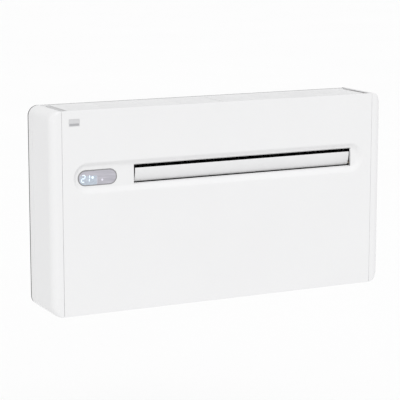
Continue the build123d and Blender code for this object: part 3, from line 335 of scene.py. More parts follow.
WHITE = (0.812, 0.812, 0.817)
ALONG_X = (0.05, 1, 1)
FINISH = {
    "white_shell": surface("shell_white", WHITE, 0.36, tint=0.006, blotch=5.0),
    "flap_plastic": surface(
        "flap_white", (0.78, 0.78, 0.785), 0.34, tint=0.012, blotch=60.0, stretch=ALONG_X
    ),
    "deck_plastic": surface("deck_grey", (0.77, 0.77, 0.775), 0.45, tint=0.02, grain=500.0, stretch=ALONG_X),
    "grille_plastic": surface(
        "grille_grey", (0.79, 0.79, 0.795), 0.42, tint=0.015, grain=500.0, stretch=ALONG_X
    ),
    "emblem_metal": surface(
        "emblem_grey", (0.64, 0.64, 0.65), 0.38, metal=0.25, tint=0.05, stretch=(0.1, 1, 1)
    ),
    "zinc_sheet": surface(
        "zinc_spangle", (0.54, 0.56, 0.58), 0.42, metal=0.85, tint=0.035, blotch=160.0, spread=0.06,
        cells=True
    ),
    "bracket_steel": surface(
        "powder_grey", (0.035, 0.037, 0.040), 0.52, tint=0.12, grain=900.0, grain_depth=0.00012, strength=0.6
    ),
    "spring_steel": surface(
        "spring_steel", (0.45, 0.46, 0.48), 0.28, metal=1.0, grain=700.0, stretch=ALONG_X
    ),
    "screw_steel": surface("zinc_plated", (0.58, 0.59, 0.60), 0.30, metal=1.0, tint=0.05, blotch=200.0),
    # Near-black foam: the rings round the duct collars are real seals. Along the casing's back edge the near-black
    # strip stands in for the shadow gap against the wall, a painted shadow.
    "seal_foam": surface(
        "seal_foam", (0.014, 0.014, 0.016), 0.92, tint=0.25, blotch=120.0, grain=700.0, grain_depth=0.0004
    ),
    "insulation_foam": surface(
        "mat_foam", (0.030, 0.030, 0.032), 0.95, tint=0.25, blotch=80.0, grain=500.0, grain_depth=0.0005
    ),
    "filter_plastic": surface("filter_frame", (0.052, 0.058, 0.066), 0.50, tint=0.06),
    "filter_fleece": surface(
        "filter_fleece", (0.66, 0.69, 0.70), 0.95, tint=0.10, blotch=260.0, grain=1100.0, grain_depth=0.0006,
        strength=0.8
    ),
    "exchanger_foil": surface(
        "rolled_foil", (0.66, 0.67, 0.69), 0.22, metal=1.0, tint=0.05, grain=400.0, stretch=(1, 1, 0.06),
        spread=0.07
    ),
    "inner_plastic": surface("inner_black", (0.011, 0.011, 0.013), 0.48, tint=0.10),
    "guard_plastic": surface("guard_black", (0.006, 0.006, 0.007), 0.44, tint=0.10),
    "fan_plastic": surface("fan_grey", (0.016, 0.018, 0.020), 0.42, tint=0.10),
    "damper_plastic": surface("damper_grey", (0.080, 0.083, 0.088), 0.46, tint=0.06),
    "actuator_plastic": surface("drive_grey", (0.22, 0.23, 0.25), 0.42, tint=0.05),
    "tray_plastic": surface("tray_black", (0.020, 0.021, 0.023), 0.40, tint=0.08),
    "port_plastic": surface("port_grey", (0.12, 0.125, 0.13), 0.42, tint=0.05),
    "motor_metal": surface(
        "motor_shell", (0.40, 0.41, 0.43), 0.34, metal=0.9, tint=0.06, grain=600.0, stretch=(0.06, 1, 1)
    ),
    "bush_brass": surface("bush_brass", (0.62, 0.42, 0.16), 0.28, metal=1.0, tint=0.08, blotch=150.0),
    "circuit_board": surface(
        "board_green", (0.018, 0.095, 0.045), 0.36, tint=0.45, blotch=170.0, cells=True, coat=0.4
    ),
    "control_plastic": surface("control_grey", (0.19, 0.20, 0.21), 0.48, tint=0.05),
    "gland_plastic": surface("gland_grey", (0.045, 0.047, 0.050), 0.42, tint=0.08),
    "lead_rubber": surface("lead_rubber", (0.010, 0.010, 0.011), 0.55, tint=0.15, blotch=90.0),
    "bezel_plastic": surface("bezel_dark", (0.030, 0.030, 0.034), 0.30, tint=0.08),
}


def lens_glass():
    """Glossy lilac-grey glass with soft lengthwise streaks, and a bluish lit window towards one end."""
    material, tree, shader = node_tree("display_glass")
    place = tree.nodes.new("ShaderNodeTexCoord")
    axes = tree.nodes.new("ShaderNodeSeparateXYZ")
    tree.links.new(place.outputs["Object"], axes.inputs["Vector"])
    streaks = ramp(tree, noise(tree, 260.0, 3.0, 0.6, (0.08, 1, 1)), LILAC_LOW, LILAC_HIGH)
    window = ramp(tree, noise(tree, 200.0, 3.0, 0.6), WINDOW_LOW, WINDOW_HIGH)
    inside = edge_mask(tree, axes.outputs["X"], window_box[0] * MM, window_box[1] * MM)
    across = edge_mask(tree, axes.outputs["Z"], window_box[2] * MM, window_box[3] * MM)
    both = tree.nodes.new("ShaderNodeMath")
    both.operation = "MULTIPLY"
    tree.links.new(inside, both.inputs[0])
    tree.links.new(across, both.inputs[1])
    blend = tree.nodes.new("ShaderNodeMix")
    blend.data_type = "RGBA"
    tree.links.new(both.outputs[0], blend.inputs["Factor"])
    tree.links.new(streaks, blend.inputs["A"])
    tree.links.new(window, blend.inputs["B"])
    colour = next(o for o in blend.outputs if o.type == "RGBA")
    tree.links.new(colour, shader.inputs["Base Color"])
    gloss = noise(tree, 40.0, 2.0)
    tree.links.new(grade(tree, gloss, 0.10, 0.18), shader.inputs["Roughness"])
    shader.inputs["Coat Weight"].default_value = 0.6
    shader.inputs["Coat Roughness"].default_value = 0.05
    return material


def edge_mask(tree, source, low, high):
    """1 between low and high, falling off softly over a millimetre at each end."""
    rise = tree.nodes.new("ShaderNodeMapRange")
    rise.inputs["From Min"].default_value = low - 0.0005
    rise.inputs["From Max"].default_value = low + 0.0005
    drop = tree.nodes.new("ShaderNodeMapRange")
    drop.inputs["From Min"].default_value = high + 0.0005
    drop.inputs["From Max"].default_value = high - 0.0005
    product = tree.nodes.new("ShaderNodeMath")
    product.operation = "MULTIPLY"
    tree.links.new(source, rise.inputs["Value"])
    tree.links.new(source, drop.inputs["Value"])
    tree.links.new(rise.outputs["Result"], product.inputs[0])
    tree.links.new(drop.outputs["Result"], product.inputs[1])
    return product.outputs[0]


def glow(name, colour, level):
    """Lit mark under the glass, a little uneven."""
    material, tree, shader = node_tree(name)
    spots = noise(tree, 500.0, 2.0)
    lit = ramp(tree, spots, tuple(c * 0.9 for c in colour), colour)
    tree.links.new(lit, shader.inputs["Base Color"])
    tree.links.new(lit, shader.inputs["Emission Color"])
    shader.inputs["Emission Strength"].default_value = level
    shader.inputs["Roughness"].default_value = 0.3
    return material


# ---------------------------------------------------------------- front panel

panel_low, panel_high = span("front_panel")
FRONT_Y = panel_low.y
PANEL_T = 3.0
lens_low, lens_high = span("display_lens")
emblem_low, emblem_high = span("emblem")
EMBLEM = (emblem_low.x, emblem_high.x, emblem_low.z, emblem_high.z)

DISH_DEPTH = 7.0
RECESS_GAP, RECESS_CORNER_R, RECESS_LIP, RECESS_DEPTH = 0.2, 2.2, 0.4, 0.9
DISH = (-442.0, 447.0, 50.0, 137.0)
DISH_FLOOR = (-431.0, 424.0, 68.5, 122.5)
SLOT = (-265.4, 405.5, 71.0, 120.5)
FLOOR_Y = FRONT_Y + DISH_DEPTH


def opening(outline, box, face_y, back_y, lip):
    """Loops from a guard loop on the face, round the lip and through the wall of an opening."""
    loops = [front(outline(*grow(box, lip + 1.2)), face_y)]
    loops += [front(outline(*grow(box, out)), face_y + depth) for out, depth in round_over(lip)]
    loops.append(front(outline(*box), back_y))
    return loops


def slot_outline(left, right, low, high):
    return rounded_rect(left, right, low, high, 1.2, 3)


def front_panel():
    bm = bmesh.new()
    outline = (panel_low.x, panel_high.x, panel_low.z, panel_high.z)
    edge = 0.9
    border = [front(rounded_rect(*grow(outline, -edge - 1.5), 0.5, 1), FRONT_Y)]
    border += [
        front(rounded_rect(*grow(outline, -out), 0.6, 1), FRONT_Y + depth) for out, depth in round_over(edge)
    ]
    border.append(front(rounded_rect(*outline, 0.6, 1), FRONT_Y + PANEL_T))
    border_first, border_last = stack(bm, border)

    steps = 16

    def slope(shift):
        loops = [front(stadium(*grow(DISH, 2.0)), FRONT_Y + shift)]
        for i in range(steps + 1):
            t = i / steps
            depth = DISH_DEPTH * smoothstep(t) + shift
            loops.append(front(stadium(*mix(DISH, DISH_FLOOR, t)), FRONT_Y + depth))
        loops.append(front(stadium(*grow(DISH_FLOOR, -1.0)), FLOOR_Y + shift))
        return loops

    def recess_loop(out, depth):
        return front(rounded_rect(*grow(EMBLEM, RECESS_GAP + out), RECESS_CORNER_R + out), FRONT_Y + depth)

    recess = [recess_loop(1.4, 0.0)]
    recess += [recess_loop(out, depth) for out, depth in round_over(RECESS_LIP)]
    recess.append(recess_loop(0.0, RECESS_DEPTH))
    recess_first, recess_last = stack(bm, recess)
    bm.faces.new(recess_last)
    mouth, floor = stack(bm, slope(0.0))
    mouth_back, floor_back = stack(bm, slope(PANEL_T))
    slot_first, slot_last = stack(bm, opening(slot_outline, SLOT, FLOOR_Y, FLOOR_Y + PANEL_T, 0.5))
    lens_box = grow((lens_low.x, lens_high.x, lens_low.z, lens_high.z), 0.35)
    lens_first, lens_last = stack(bm, opening(stadium, lens_box, FLOOR_Y, FLOOR_Y + PANEL_T, 0.5))
    fill(bm, (border_first, mouth, recess_first))
    fill(bm, (floor, slot_first, lens_first))
    fill(bm, (border_last, mouth_back))
    fill(bm, (floor_back, slot_last, lens_last))
    return new_piece("front_panel_shell", bm, "casing", "white_shell", ["front_panel"], 40)


def emblem():
    """Plain plate with a raised bar along its foot, and no mark."""
    bm = bmesh.new()
    left, right, low, _ = EMBLEM
    slab(bm, front, box_shape(EMBLEM, 2.2), FRONT_Y + 0.35, FRONT_Y + 0.88, 0.22)
    bar = (left + 1.6, right - 1.6, low + 1.6, low + 7.2)
    new_piece("emblem_plate", bm, "casing", "emblem_metal", ["emblem"])
    bm = bmesh.new()
    slab(bm, front, box_shape(bar, 1.4), FRONT_Y + 0.05, FRONT_Y + 0.40, 0.15)
    new_piece("emblem_bar", bm, "casing", "emblem_metal", material=emblem_dark)


emblem_dark = surface(
    "emblem_dark", (0.42, 0.42, 0.435), 0.34, metal=0.25, tint=0.06, stretch=(0.1, 1, 1)
)
front_panel()
emblem()

# ---------------------------------------------------------------- display

LENS = (lens_low.x, lens_high.x, lens_low.z, lens_high.z)
LENS_Y = lens_low.y
LENS_MIDDLE_Z = (lens_low.z + lens_high.z) / 2
RIM_W, RIM_DEPTH, RIM_RISE, RIM_BACK = 2.4, 0.9, 0.75, 3.0
PANE_DEPTH, PANE_RISE, PANE_BACK, PANE_SLOPE_W = 0.45, 0.33, 2.9, 9.0
LILAC_LOW, LILAC_HIGH = (0.395, 0.385, 0.430), (0.530, 0.515, 0.570)
WINDOW_LOW, WINDOW_HIGH = (0.400, 0.455, 0.530), (0.540, 0.600, 0.680)
WINDOW_RIGHT = 53.7
window_box = (lens_low.x + 5.0, lens_low.x + WINDOW_RIGHT, lens_low.z + 2.0, LENS_MIDDLE_Z + 6.0)
DIGIT_H, DIGIT_W, STROKE, DIGIT_SLANT = 18.0, 9.0, 2.6, 2.0
DIGIT_PLACES = (("2", 9.5), ("1", 22.5))
DOT_PLACE, DIM_DOT_PLACE = (41.5, 0.8, 3.6), (69.0, -7.0, 3.0)  # from the left edge, rise and radius
SEGMENTS = {
    "a": ((0, 1), (1, 1)), "b": ((1, 1), (1, 0.5)), "c": ((1, 0.5), (1, 0)), "d": ((0, 0), (1, 0)),
    "e": ((0, 0.5), (0, 0)), "f": ((0, 1), (0, 0.5)), "g": ((0, 0.5), (1, 0.5)),
}
DIGITS = {"1": "bc", "2": "abged"}


def display_rim():
    """Sloping edge of the lens, coloured dark grey as a painted reflection of darker surroundings on its curve."""
    bm = bmesh.new()
    bottom = LENS_Y + RIM_BACK
    loops = [front(stadium(*LENS), bottom), front(stadium(*LENS), LENS_Y + RIM_DEPTH)]
    slope_steps = 5
    for i in range(1, slope_steps + 1):
        t = i / slope_steps
        depth = LENS_Y + RIM_DEPTH - RIM_RISE * math.sin(t * math.pi / 2)
        loops.append(front(stadium(*grow(LENS, -RIM_W * t)), depth))
    loops.append(front(stadium(*grow(LENS, -RIM_W)), bottom))
    first, last = stack(bm, loops)
    bridge(bm, last, first)
    new_piece("display_rim", bm, "casing", "display_glass", material=rim_painted_reflection)


def display_pane():
    """Glass pane, very slightly domed."""
    bm = bmesh.new()
    pane = grow(LENS, -RIM_W - 0.05)
    loops = [front(stadium(*pane), LENS_Y + PANE_BACK), front(stadium(*pane), LENS_Y + PANE_DEPTH)]
    dome_steps = 6
    for i in range(1, dome_steps + 1):
        t = i / dome_steps
        depth = LENS_Y + PANE_DEPTH - PANE_RISE * math.sin(t * math.pi / 2)
        loops.append(front(stadium(*grow(pane, -PANE_SLOPE_W * t)), depth))
    cap_ends(bm, *stack(bm, loops))
    new_piece("display_pane", bm, "casing", "display_glass", ["display_lens"], material=lens_glass())


def stroke(bm, start, end, half, point):
    """Flat bar with pointed ends between two (x, z) places on the pane."""
    along = Vector((end[0] - start[0], end[1] - start[1])).normalized()
    across = Vector((-along.y, along.x)) * half
    a, b = Vector(start) + along * point, Vector(end) - along * point
    corners = [a - along * half, a + across, b + across, b + along * half, b - across, a - across]
    loops = [[(c.x, y, c.y) for c in corners] for y in (LENS_Y + 0.4, LENS_Y + 0.02)]
    cap_ends(bm, *stack(bm, loops))


def display_marks():
    """The digits 21, slanted, with a bright dot beside them and a dim one further along."""
    bm = bmesh.new()
    low = LENS_MIDDLE_Z - DIGIT_H / 2 - 1.0
    for digit, offset in DIGIT_PLACES:
        left = lens_low.x + offset
        for segment in DIGITS[digit]:
            ends = []
            for u, v in SEGMENTS[segment]:
                ends.append((left + u * DIGIT_W + v * DIGIT_SLANT, low + v * DIGIT_H))
            stroke(bm, *ends, STROKE / 2, STROKE * 0.62)
    new_piece("display_digits", bm, "casing", "display_glass", material=mark_white)
    dots = (("display_dot", DOT_PLACE, mark_white), ("display_dot_dim", DIM_DOT_PLACE, mark_dim))
    for name, (offset, rise, radius), material in dots:
        bm = bmesh.new()
        shape = round_shape(lens_low.x + offset, LENS_MIDDLE_Z + rise, radius, 28)
        slab(bm, front, shape, LENS_Y + 0.03, LENS_Y + 0.4, 0.12)
        new_piece(name, bm, "casing", "display_glass", material=material)
    bm = bmesh.new()
    edge = lens_low.x + WINDOW_RIGHT
    divider = (edge, edge + 0.9, lens_low.z + 5.0, LENS_MIDDLE_Z + 3.0)
    slab(bm, front, box_shape(divider, 0.4), LENS_Y + 0.04, LENS_Y + 0.4, 0.12)
    new_piece("display_divider", bm, "casing", "display_glass", material=mark_dim)


# Dark grey of the lens edge: painted reflection, standing in for the darker surroundings that its curved edge
# reflects.
rim_painted_reflection = surface("display_rim_painted_reflection", (0.260, 0.260, 0.265), 0.22, tint=0.06, blotch=120.0, coat=0.5)
mark_white = glow("mark_white", (0.72, 0.83, 0.96), 0.42)
mark_dim = glow("mark_dim", (0.66, 0.64, 0.72), 0.20)
display_rim()
display_pane()
display_marks()

# ---------------------------------------------------------------- end caps

cap_low, cap_high = span("right_end_cap")
CORNER_R = 28.0
SIDE_EDGE_R = 22.0
SEAM_EDGE_R = 1.2
BACK_EDGE_R = 2.0
CAP_T = 2.6
GROOVES_Y = (-34.0, -21.0)
GROOVE_W, GROOVE_DEEP, GROOVE_SLOPE_W, GROOVE_BORDER = 1.5, 1.1, 0.25, 1.0
EDGE_LEAD, EDGE_RUN = 0.12, 0.95  # how the edge radius grows along the corner


def cap_outline():
    """Right cap's front outline from its top seam to its bottom one: point, normal and edge radius."""
    seam, side, half = cap_low.x, cap_high.x, cap_high.z
    rows = []
    seam_steps, arc_steps, side_steps = 4, 18, 6
    top = []
    for i in range(seam_steps):
        x = seam + (side - CORNER_R - seam) * i / seam_steps
        top.append(((x, half), (0.0, 1.0), 0.0))
    for i in range(arc_steps + 1):
        angle = math.radians(90 - 90 * i / arc_steps)
        point = (side - CORNER_R + CORNER_R * math.cos(angle), half - CORNER_R + CORNER_R * math.sin(angle))
        top.append((point, (math.cos(angle), math.sin(angle)), i / arc_steps))
    for point, normal, share in top:
        blend = smoothstep(min(1.0, (share + EDGE_LEAD) / EDGE_RUN))
        rows.append((point, normal, SEAM_EDGE_R + (SIDE_EDGE_R - SEAM_EDGE_R) * blend))
    upper = half - CORNER_R
    heights = [upper - 2 * upper * i / side_steps for i in range(1, side_steps)]
    middle = [((side, z), (1.0, 0.0), SIDE_EDGE_R) for z in heights]
    mirrored = [((x, -z), (nx, -nz), radius) for (x, z), (nx, nz), radius in reversed(rows)]
    return rows + middle + mirrored


def cap_profile(edge_r):
    """Cap's section from the front face round to the back, as (inward offset, y)."""
    points = []
    edge_steps, back_steps = 10, 4
    for i in range(edge_steps + 1):
        angle = math.radians(90 * i / edge_steps)
        points.append((edge_r * (1 - math.sin(angle)), cap_low.y + edge_r * (1 - math.cos(angle))))
    for groove in GROOVES_Y:
        half = GROOVE_W / 2
        floor_half = half - GROOVE_SLOPE_W
        points += [(0.0, groove - half - GROOVE_BORDER), (0.0, groove - half)]
        points += [(GROOVE_DEEP, groove - floor_half), (GROOVE_DEEP, groove + floor_half)]
        points += [(0.0, groove + half), (0.0, groove + half + GROOVE_BORDER)]
    for i in range(back_steps + 1):
        angle = math.radians(90 * i / back_steps)
        points.append((BACK_EDGE_R * (1 - math.cos(angle)), cap_high.y - BACK_EDGE_R * (1 - math.sin(angle))))
    return points


def end_cap(name, sign, node):
    """Grid from the seam over the front, round the edge and side, and back to the seam behind."""
    bm = bmesh.new()
    seam = cap_low.x
    columns = []
    for (x, z), (nx, nz), edge_r in cap_outline():
        column = []
        for inward, y in cap_profile(edge_r):
            column.append((x - nx * inward, y, z - nz * inward))
        first, last = column[0], column[-1]
        column.insert(0, (seam, first[1], first[2]))
        column.append((seam, last[1], last[2]))
        columns.append([bm.verts.new((sign * max(px, seam), py, pz)) for px, py, pz in column])
    for left, right in zip(columns, columns[1:]):
        for i in range(len(left) - 1):
            bm.faces.new((left[i], left[i + 1], right[i + 1], right[i]))
    bmesh.ops.remove_doubles(bm, verts=bm.verts, dist=0.01)
    shell = thicken(bm, CAP_T)
    for vert in shell.verts:
        vert.co.z = min(cap_high.z, max(cap_low.z, vert.co.z))
    return new_piece(name, shell, "casing", "white_shell", [node], 30)


end_cap("left_cap_shell", -1, "left_end_cap")
end_cap("right_cap_shell", 1, "right_end_cap")

# ---------------------------------------------------------------- top deck and grilles

deck_low, deck_high = span("top_frame")
DECK_TOP = 273.5
DECK_T = 3.0
DECK_EDGE_X = 454.0
LIP_T = 2.5
CHANNEL_FLOOR = 264.5
CHANNEL_WALL_TOP, CHANNEL_WALL_T = 270.8, 2.0
REAR_STRIP_T = 5.0
LEDGE_Z = 248.7
FLANGE_BOTTOM_Z = 246.0
INNER_FLANGE_X = 465.8
# Clears the square corners of the filter frames. At 1.0, 1.2 or 1.6 the fill covers the two openings.
DECK_CORNER_R = 1.5


def deck_rect(left, right, low, high):
    return rounded_rect(left, right, low, high, DECK_CORNER_R, 3)


def deck_plate(bm):
    """Raised middle of the deck, with the two walled openings."""
    top = DECK_TOP
    outline = (-DECK_EDGE_X, DECK_EDGE_X, deck_low.y + LIP_T + 0.05, deck_high.y - REAR_STRIP_T - 0.05)
    edge = 0.8
    border = [flat(deck_rect(*grow(outline, -edge - 1.0)), top)]
    border += [flat(deck_rect(*grow(outline, -out)), top - depth) for out, depth in round_over(edge)]
    border.append(flat(deck_rect(*outline), CHANNEL_FLOOR + 0.1))
    first, last = stack(bm, border)
    tops, bottoms = [first], [last]
    for hand in ("left", "right"):
        low, high = span(f"{hand}_intake_grille")
        hole = grow((low.x, high.x, low.y, high.y), 0.6)
        loops = [flat(deck_rect(*grow(hole, edge + 0.7)), top)]
        loops += [flat(deck_rect(*grow(hole, out)), top - depth) for out, depth in round_over(edge)]
        loops.append(flat(deck_rect(*hole), LEDGE_Z))
        loops.append(flat(deck_rect(*grow(hole, -4.0)), LEDGE_Z))
        loops.append(flat(deck_rect(*grow(hole, -4.0)), FLANGE_BOTTOM_Z + 0.5))
        loops.append(flat(deck_rect(*grow(hole, 1.8)), FLANGE_BOTTOM_Z + 0.5))
        loops.append(flat(deck_rect(*grow(hole, 1.8)), CHANNEL_FLOOR + 0.1))
        inner, outer = stack(bm, loops)
        tops.append(inner)
        bottoms.append(outer)
    fill(bm, tops)
    fill(bm, bottoms)


def top_deck():
    """Deck plate, the lip behind the front panel, a channel along each end cap and the rear flange."""
    bm = bmesh.new()
    deck_plate(bm)
    bottom = CHANNEL_FLOOR - DECK_T
    lip = (deck_low.y, deck_low.y + LIP_T, bottom, deck_high.z)
    rear = (deck_high.y - REAR_STRIP_T, deck_high.y, bottom, DECK_TOP)
    for strip in (lip, rear):
        slab(bm, end_on, box_shape(strip, 1.0), deck_low.x, deck_high.x, 0.3)
    depth = (deck_low.y + LIP_T, deck_high.y - REAR_STRIP_T)
    for sign in (-1, 1):
        near, far = sorted((sign * (DECK_EDGE_X - 2.0), sign * deck_high.x))
        slab(bm, flat, box_shape((near, far, *depth), 0.6), bottom, CHANNEL_FLOOR, 0.3)
        near, far = sorted((sign * (deck_high.x - CHANNEL_WALL_T), sign * deck_high.x))
        slab(bm, flat, box_shape((near, far, *depth), 0.6), bottom, CHANNEL_WALL_TOP, 0.4)
    flange = (-INNER_FLANGE_X, INNER_FLANGE_X, deck_high.y - REAR_STRIP_T, deck_high.y - 2.2)
    slab(bm, flat, box_shape(flange, 0.6), FLANGE_BOTTOM_Z, CHANNEL_FLOOR, 0.3)
    return new_piece("top_deck", bm, "casing", "deck_plastic", ["top_frame"])


BAYS, ROWS, GRILLE_MARGIN, BAY_RIB, GRILLE_SLOT_W = 4, 10, 9.0, 6.0, 5.0
GRILLE_SLOT_R, GRILLE_SLOT_LIP = 2.4, 0.9


def intake_grille(hand):
    """Slotted plate with rounded bars between its slots, in four bays."""
    bm = bmesh.new()
    low, high = span(f"{hand}_intake_grille")
    top, bottom = high.z, low.z
    outline = (low.x, high.x, low.y, high.y)
    edge = 0.8
    border = [flat(deck_rect(*grow(outline, -edge - 1.0)), top)]
    border += [flat(deck_rect(*grow(outline, -out)), top - depth) for out, depth in round_over(edge)]
    border.append(flat(deck_rect(*outline), bottom))
    first, last = stack(bm, border)
    tops, bottoms = [first], [last]
    bay = (high.x - low.x - 2 * GRILLE_MARGIN) / BAYS
    pitch = (high.y - low.y - 2 * GRILLE_MARGIN) / ROWS
    half_length, half_width = (bay - BAY_RIB) / 2, GRILLE_SLOT_W / 2
    for column in range(BAYS):
        x = low.x + GRILLE_MARGIN + bay * (column + 0.5)
        for row in range(ROWS):
            y = low.y + GRILLE_MARGIN + pitch * (row + 0.5)
            box = (x - half_length, x + half_length, y - half_width, y + half_width)
            loops = []
            for out, depth in round_over(GRILLE_SLOT_LIP, 3):
                loops.append(flat(rounded_rect(*grow(box, out), GRILLE_SLOT_R + out, 4), top - depth))
            loops.append(flat(rounded_rect(*box, GRILLE_SLOT_R, 4), bottom))
            inner, outer = stack(bm, loops)
            tops.append(inner)
            bottoms.append(outer)
    fill(bm, tops)
    fill(bm, bottoms)
    node = f"{hand}_intake_grille"
    return new_piece(f"{hand}_grille_plate", bm, f"{hand}_filter", "grille_plastic", [node])


top_deck()
for hand in ("left", "right"):
    intake_grille(hand)

# ---------------------------------------------------------------- outlet flap

pivot = next(j for j in frame["joints"] if j["name"] == "outlet_flap_hinge")["pos_m"]
PIVOT_Y, PIVOT_Z = pivot[1] / MM, pivot[2] / MM
FLAP_X = (-262.0, 402.0)
FLAP_T = 2.6
FLAP_BOSS_R, FLAP_BOSS_T, FLAP_PIN_R = 5.0, 3.0, 2.5
FLAP_LEFT_REACH, FLAP_RIGHT_REACH = 18.0, 8.0
FLAP_FOOT, FLAP_MIDDLE, FLAP_TIP = (-148.6, 74.4), (-155.1, 92.0), (-157.6, 110.0)


def circle_through(a, b, c):
    """Centre and radius of the circle through three points."""
    (ax, ay), (bx, by), (cx, cy) = a, b, c
    d = 2 * (ax * (by - cy) + bx * (cy - ay) + cx * (ay - by))
    ux = ((ax**2 + ay**2) * (by - cy) + (bx**2 + by**2) * (cy - ay) + (cx**2 + cy**2) * (ay - by)) / d
    uy = ((ax**2 + ay**2) * (cx - bx) + (bx**2 + by**2) * (ax - cx) + (cx**2 + cy**2) * (bx - ax)) / d
    return (ux, uy), math.dist((ux, uy), a)


def flap_section(shrink):
    """Closed blade section in (y, z), thickness less 2 * shrink, with round ends."""
    (cy, cz), radius = circle_through(FLAP_FOOT, FLAP_MIDDLE, FLAP_TIP)
    start = math.atan2(FLAP_FOOT[1] - cz, FLAP_FOOT[0] - cy)
    end = math.atan2(FLAP_TIP[1] - cz, FLAP_TIP[0] - cy)
    if end - start > math.pi:
        start += 2 * math.pi
    if start - end > math.pi:
        end += 2 * math.pi
    half = FLAP_T / 2 - shrink
    steps = 14
    outer, inner = [], []
    for i in range(steps + 1):
        angle = start + (end - start) * i / steps
        direction = (math.cos(angle), math.sin(angle))
        outer.append((cy + (radius + half) * direction[0], cz + (radius + half) * direction[1]))
        inner.append((cy + (radius - half) * direction[0], cz + (radius - half) * direction[1]))

    turn = math.copysign(1, end - start)

    def round_end(angle, begin):
        """Points of the half circle that closes one end of the section."""
        y, z = cy + radius * math.cos(angle), cz + radius * math.sin(angle)
        swings = [begin + turn * math.pi * i / 6 for i in range(1, 6)]
        return [(y + half * math.cos(swing), z + half * math.sin(swing)) for swing in swings]

    return outer + round_end(end, end) + inner[::-1] + round_end(start, start + math.pi)


def disc(bm, y, z, radius, x0, x1, steps=28):
    """Closed round bar along X with softened rims."""
    rim = min(0.4, radius / 3)
    loops = []
    for x, r in ((x0, radius - rim), (x0 + rim, radius), (x1 - rim, radius), (x1, radius - rim)):
        loops.append([
            (x, y + r * math.cos(2 * math.pi * i / steps), z + r * math.sin(2 * math.pi * i / steps))
            for i in range(steps)
        ])
    cap_ends(bm, *stack(bm, loops))


def outlet_flap():
    bm = bmesh.new()
    left, right = FLAP_X
    rows = [(left, 0.8), (left + 0.25, 0.35), (left + 0.8, 0.0)]
    rows += [(left + (right - left) * i / 8, 0.0) for i in range(1, 8)]
    rows += [(right - 0.8, 0.0), (right - 0.25, 0.35), (right, 0.8)]
    loops = [[(x, y, z) for y, z in flap_section(shrink)] for x, shrink in rows]
    cap_ends(bm, *stack(bm, loops))
    for x in (left, right - FLAP_BOSS_T):
        disc(bm, PIVOT_Y, PIVOT_Z, FLAP_BOSS_R, x + 0.1, x + 0.1 + FLAP_BOSS_T)
    disc(bm, PIVOT_Y, PIVOT_Z, FLAP_PIN_R, left - FLAP_LEFT_REACH, left + 1)
    disc(bm, PIVOT_Y, PIVOT_Z, FLAP_PIN_R, right - 1, right + FLAP_RIGHT_REACH)
    return new_piece("outlet_blade", bm, "flap", "flap_plastic", ["outlet_flap"], 35)


outlet_flap()

# ---------------------------------------------------------------- back and underside

pan_low, pan_high = span("back_pan")
PAN_T = 2.0
port_low, port_high = span("fresh_port_collar")
PORT_X, PORT_Z = 330.0, (port_low.z + port_high.z) / 2
PORT_HOLE_R = 83.4
HOOK = (200.0, 22.0, 202.0, 216.6)
GLAND = (440.0, -30.0, 10.05)
RIBS_Z = (-72.0, -106.0, -140.0, -174.0)
RIB_HALF_X, RIB_HALF_W, RIB_DEPTH = 205.0, 6.5, 1.6
POSTS_X = (333.0, 368.0, 403.0)
POST_Z = (-62.0, 236.0)


def back_pan():
    """Pressed sheet with stiffening ribs, pierced for the ducts, the bracket's hooks and the cable gland."""
    bm = bmesh.new()
    outline = (pan_low.x, pan_high.x, pan_low.z, pan_high.z)
    holes = [round_shape(*GLAND)]
    ribs = [(-RIB_HALF_X, RIB_HALF_X, z - RIB_HALF_W, z + RIB_HALF_W) for z in RIBS_Z]
    hook_x, hook_half, hook_low, hook_high = HOOK
    for sign in (-1, 1):
        holes.append(round_shape(sign * PORT_X, PORT_Z, PORT_HOLE_R, 64))
        slot = (sign * hook_x - hook_half, sign * hook_x + hook_half, hook_low, hook_high)
        holes.append(box_shape(slot, 1.0))
        for x in POSTS_X:
            ribs.append((sign * x - RIB_HALF_W, sign * x + RIB_HALF_W, *POST_Z))
    pressings = [(box_shape(rib, RIB_HALF_W - 2.0, 6), RIB_DEPTH) for rib in ribs]
    plate(bm, front, box_shape(outline, 2.0), pan_high.y, pan_high.y - PAN_T, holes, pressings, 1.0, 0.5)
    for x in (pan_low.x, pan_high.x - PAN_T):
        wall = (pan_low.y, pan_high.y - PAN_T, pan_low.z, pan_high.z)
        slab(bm, end_on, box_shape(wall, 1.5), x, x + PAN_T, 0.4)
    new_piece("back_sheet", bm, "casing", "zinc_sheet", ["back_pan"])


COVER_T, DRAIN_HOLE_R = 3.0, 10.3
COVER_RIBS_Y = (-138.0, -112.0, -86.0, -34.0)
COVER_RIBS_X = ((-440.0, -162.0), (-138.0, 76.0), (124.0, 440.0))
COVER_RIB_HALF, COVER_RIB_DEPTH = 4.5, 1.0


def bottom_cover():
    """Underside cover with lengthwise pressings, a hole for the drain and the flange behind."""
    bm = bmesh.new()
    low, high = span("bottom_cover")
    outline = (low.x, high.x, low.y, high.y)
    drain_low, drain_high = span("drain_nozzle")
    drain = ((drain_low.x + drain_high.x) / 2, (drain_low.y + drain_high.y) / 2)
    ribs = []
    for y in COVER_RIBS_Y:
        for left, right in COVER_RIBS_X:
            ribs.append((left, right, y - COVER_RIB_HALF, y + COVER_RIB_HALF))
    pressings = [(box_shape(rib, COVER_RIB_HALF - 1.0), COVER_RIB_DEPTH) for rib in ribs]
    holes = [round_shape(*drain, DRAIN_HOLE_R)]
    plate(bm, flat, box_shape(outline, 2.0), low.z, low.z + COVER_T, holes, pressings, 1.0, 0.8)
    flange = (-INNER_FLANGE_X, INNER_FLANGE_X, high.y - 2.8, high.y)
    slab(bm, flat, box_shape(flange, 0.6), low.z + 2.8, high.z, 0.3)
    new_piece("underside_cover", bm, "casing", "deck_plastic", ["bottom_cover"])


back_pan()
bottom_cover()

# ---------------------------------------------------------------- finishes of the carried-over nodes

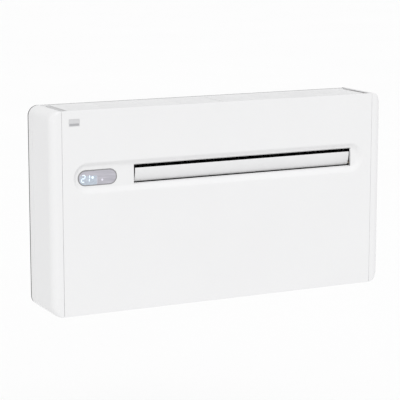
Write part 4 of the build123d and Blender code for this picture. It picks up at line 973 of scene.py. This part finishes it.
slot_of = {row["node"]: row["material_slot"] for row in frame["record"]["subparts"]}
for node, obj in frame["nodes"].items():
    slot = slot_of[node]
    if slot in FINISH:
        for place in obj.material_slots:
            place.material = FINISH[slot]

# ---------------------------------------------------------------- camera, light and floor


def track(obj, direction):
    obj.rotation_mode = "QUATERNION"
    obj.rotation_quaternion = Vector(direction).to_track_quat("-Z", "Y")


CAMERA_YAW, CAMERA_PITCH = math.radians(26.15), math.radians(10.37)
CAMERA_PLACE, CAMERA_LENS = (-1.986, -4.062, 0.8045), 145.8
camera = bpy.data.objects.new("camera", bpy.data.cameras.new("camera"))
bpy.context.scene.collection.objects.link(camera)
camera.location = CAMERA_PLACE
track(camera, (
    math.sin(CAMERA_YAW) * math.cos(CAMERA_PITCH),
    math.cos(CAMERA_YAW) * math.cos(CAMERA_PITCH),
    -math.sin(CAMERA_PITCH),
))
camera.data.lens = CAMERA_LENS
camera.data.sensor_width = 36.0
camera.data.clip_end = 200.0
bpy.context.scene.camera = camera

FLOOR_Z = -1.25


def floor():
    bm = bmesh.new()
    reach, steps = 60.0, 12
    for i in range(steps + 1):
        for j in range(steps + 1):
            bm.verts.new((-reach + 2 * reach * i / steps, -reach + 2 * reach * j / steps, FLOOR_Z))
    bm.verts.ensure_lookup_table()
    for i in range(steps):
        for j in range(steps):
            a = i * (steps + 1) + j
            bm.faces.new([bm.verts[k] for k in (a, a + steps + 1, a + steps + 2, a + 1)])
    mesh = bpy.data.meshes.new("floor")
    bm.to_mesh(mesh)
    bm.free()
    obj = bpy.data.objects.new("floor", mesh)
    bpy.context.scene.collection.objects.link(obj)
    mesh.materials.append(surface("floor_pale", (0.94, 0.94, 0.94), 0.9, tint=0.004, blotch=0.6, grain=60.0))


floor()

WORLD_LEVEL = 0.75
world = bpy.data.worlds.new("studio")
bpy.context.scene.world = world
world.use_nodes = True
world.node_tree.nodes["Background"].inputs["Color"].default_value = (1, 1, 1, 1)
world.node_tree.nodes["Background"].inputs["Strength"].default_value = WORLD_LEVEL
bpy.context.scene.view_settings.view_transform = "Standard"


def soft_sun(name, towards, strength, spread):
    """Even light from one side, with shadows as soft as its angular spread in degrees."""
    data = bpy.data.lights.new(name, "SUN")
    data.energy = strength
    data.angle = math.radians(spread)
    light = bpy.data.objects.new(name, data)
    bpy.context.scene.collection.objects.link(light)
    track(light, -Vector(towards))


soft_sun("window_light", (-0.20, -0.55, 0.80), 1.2, 50)
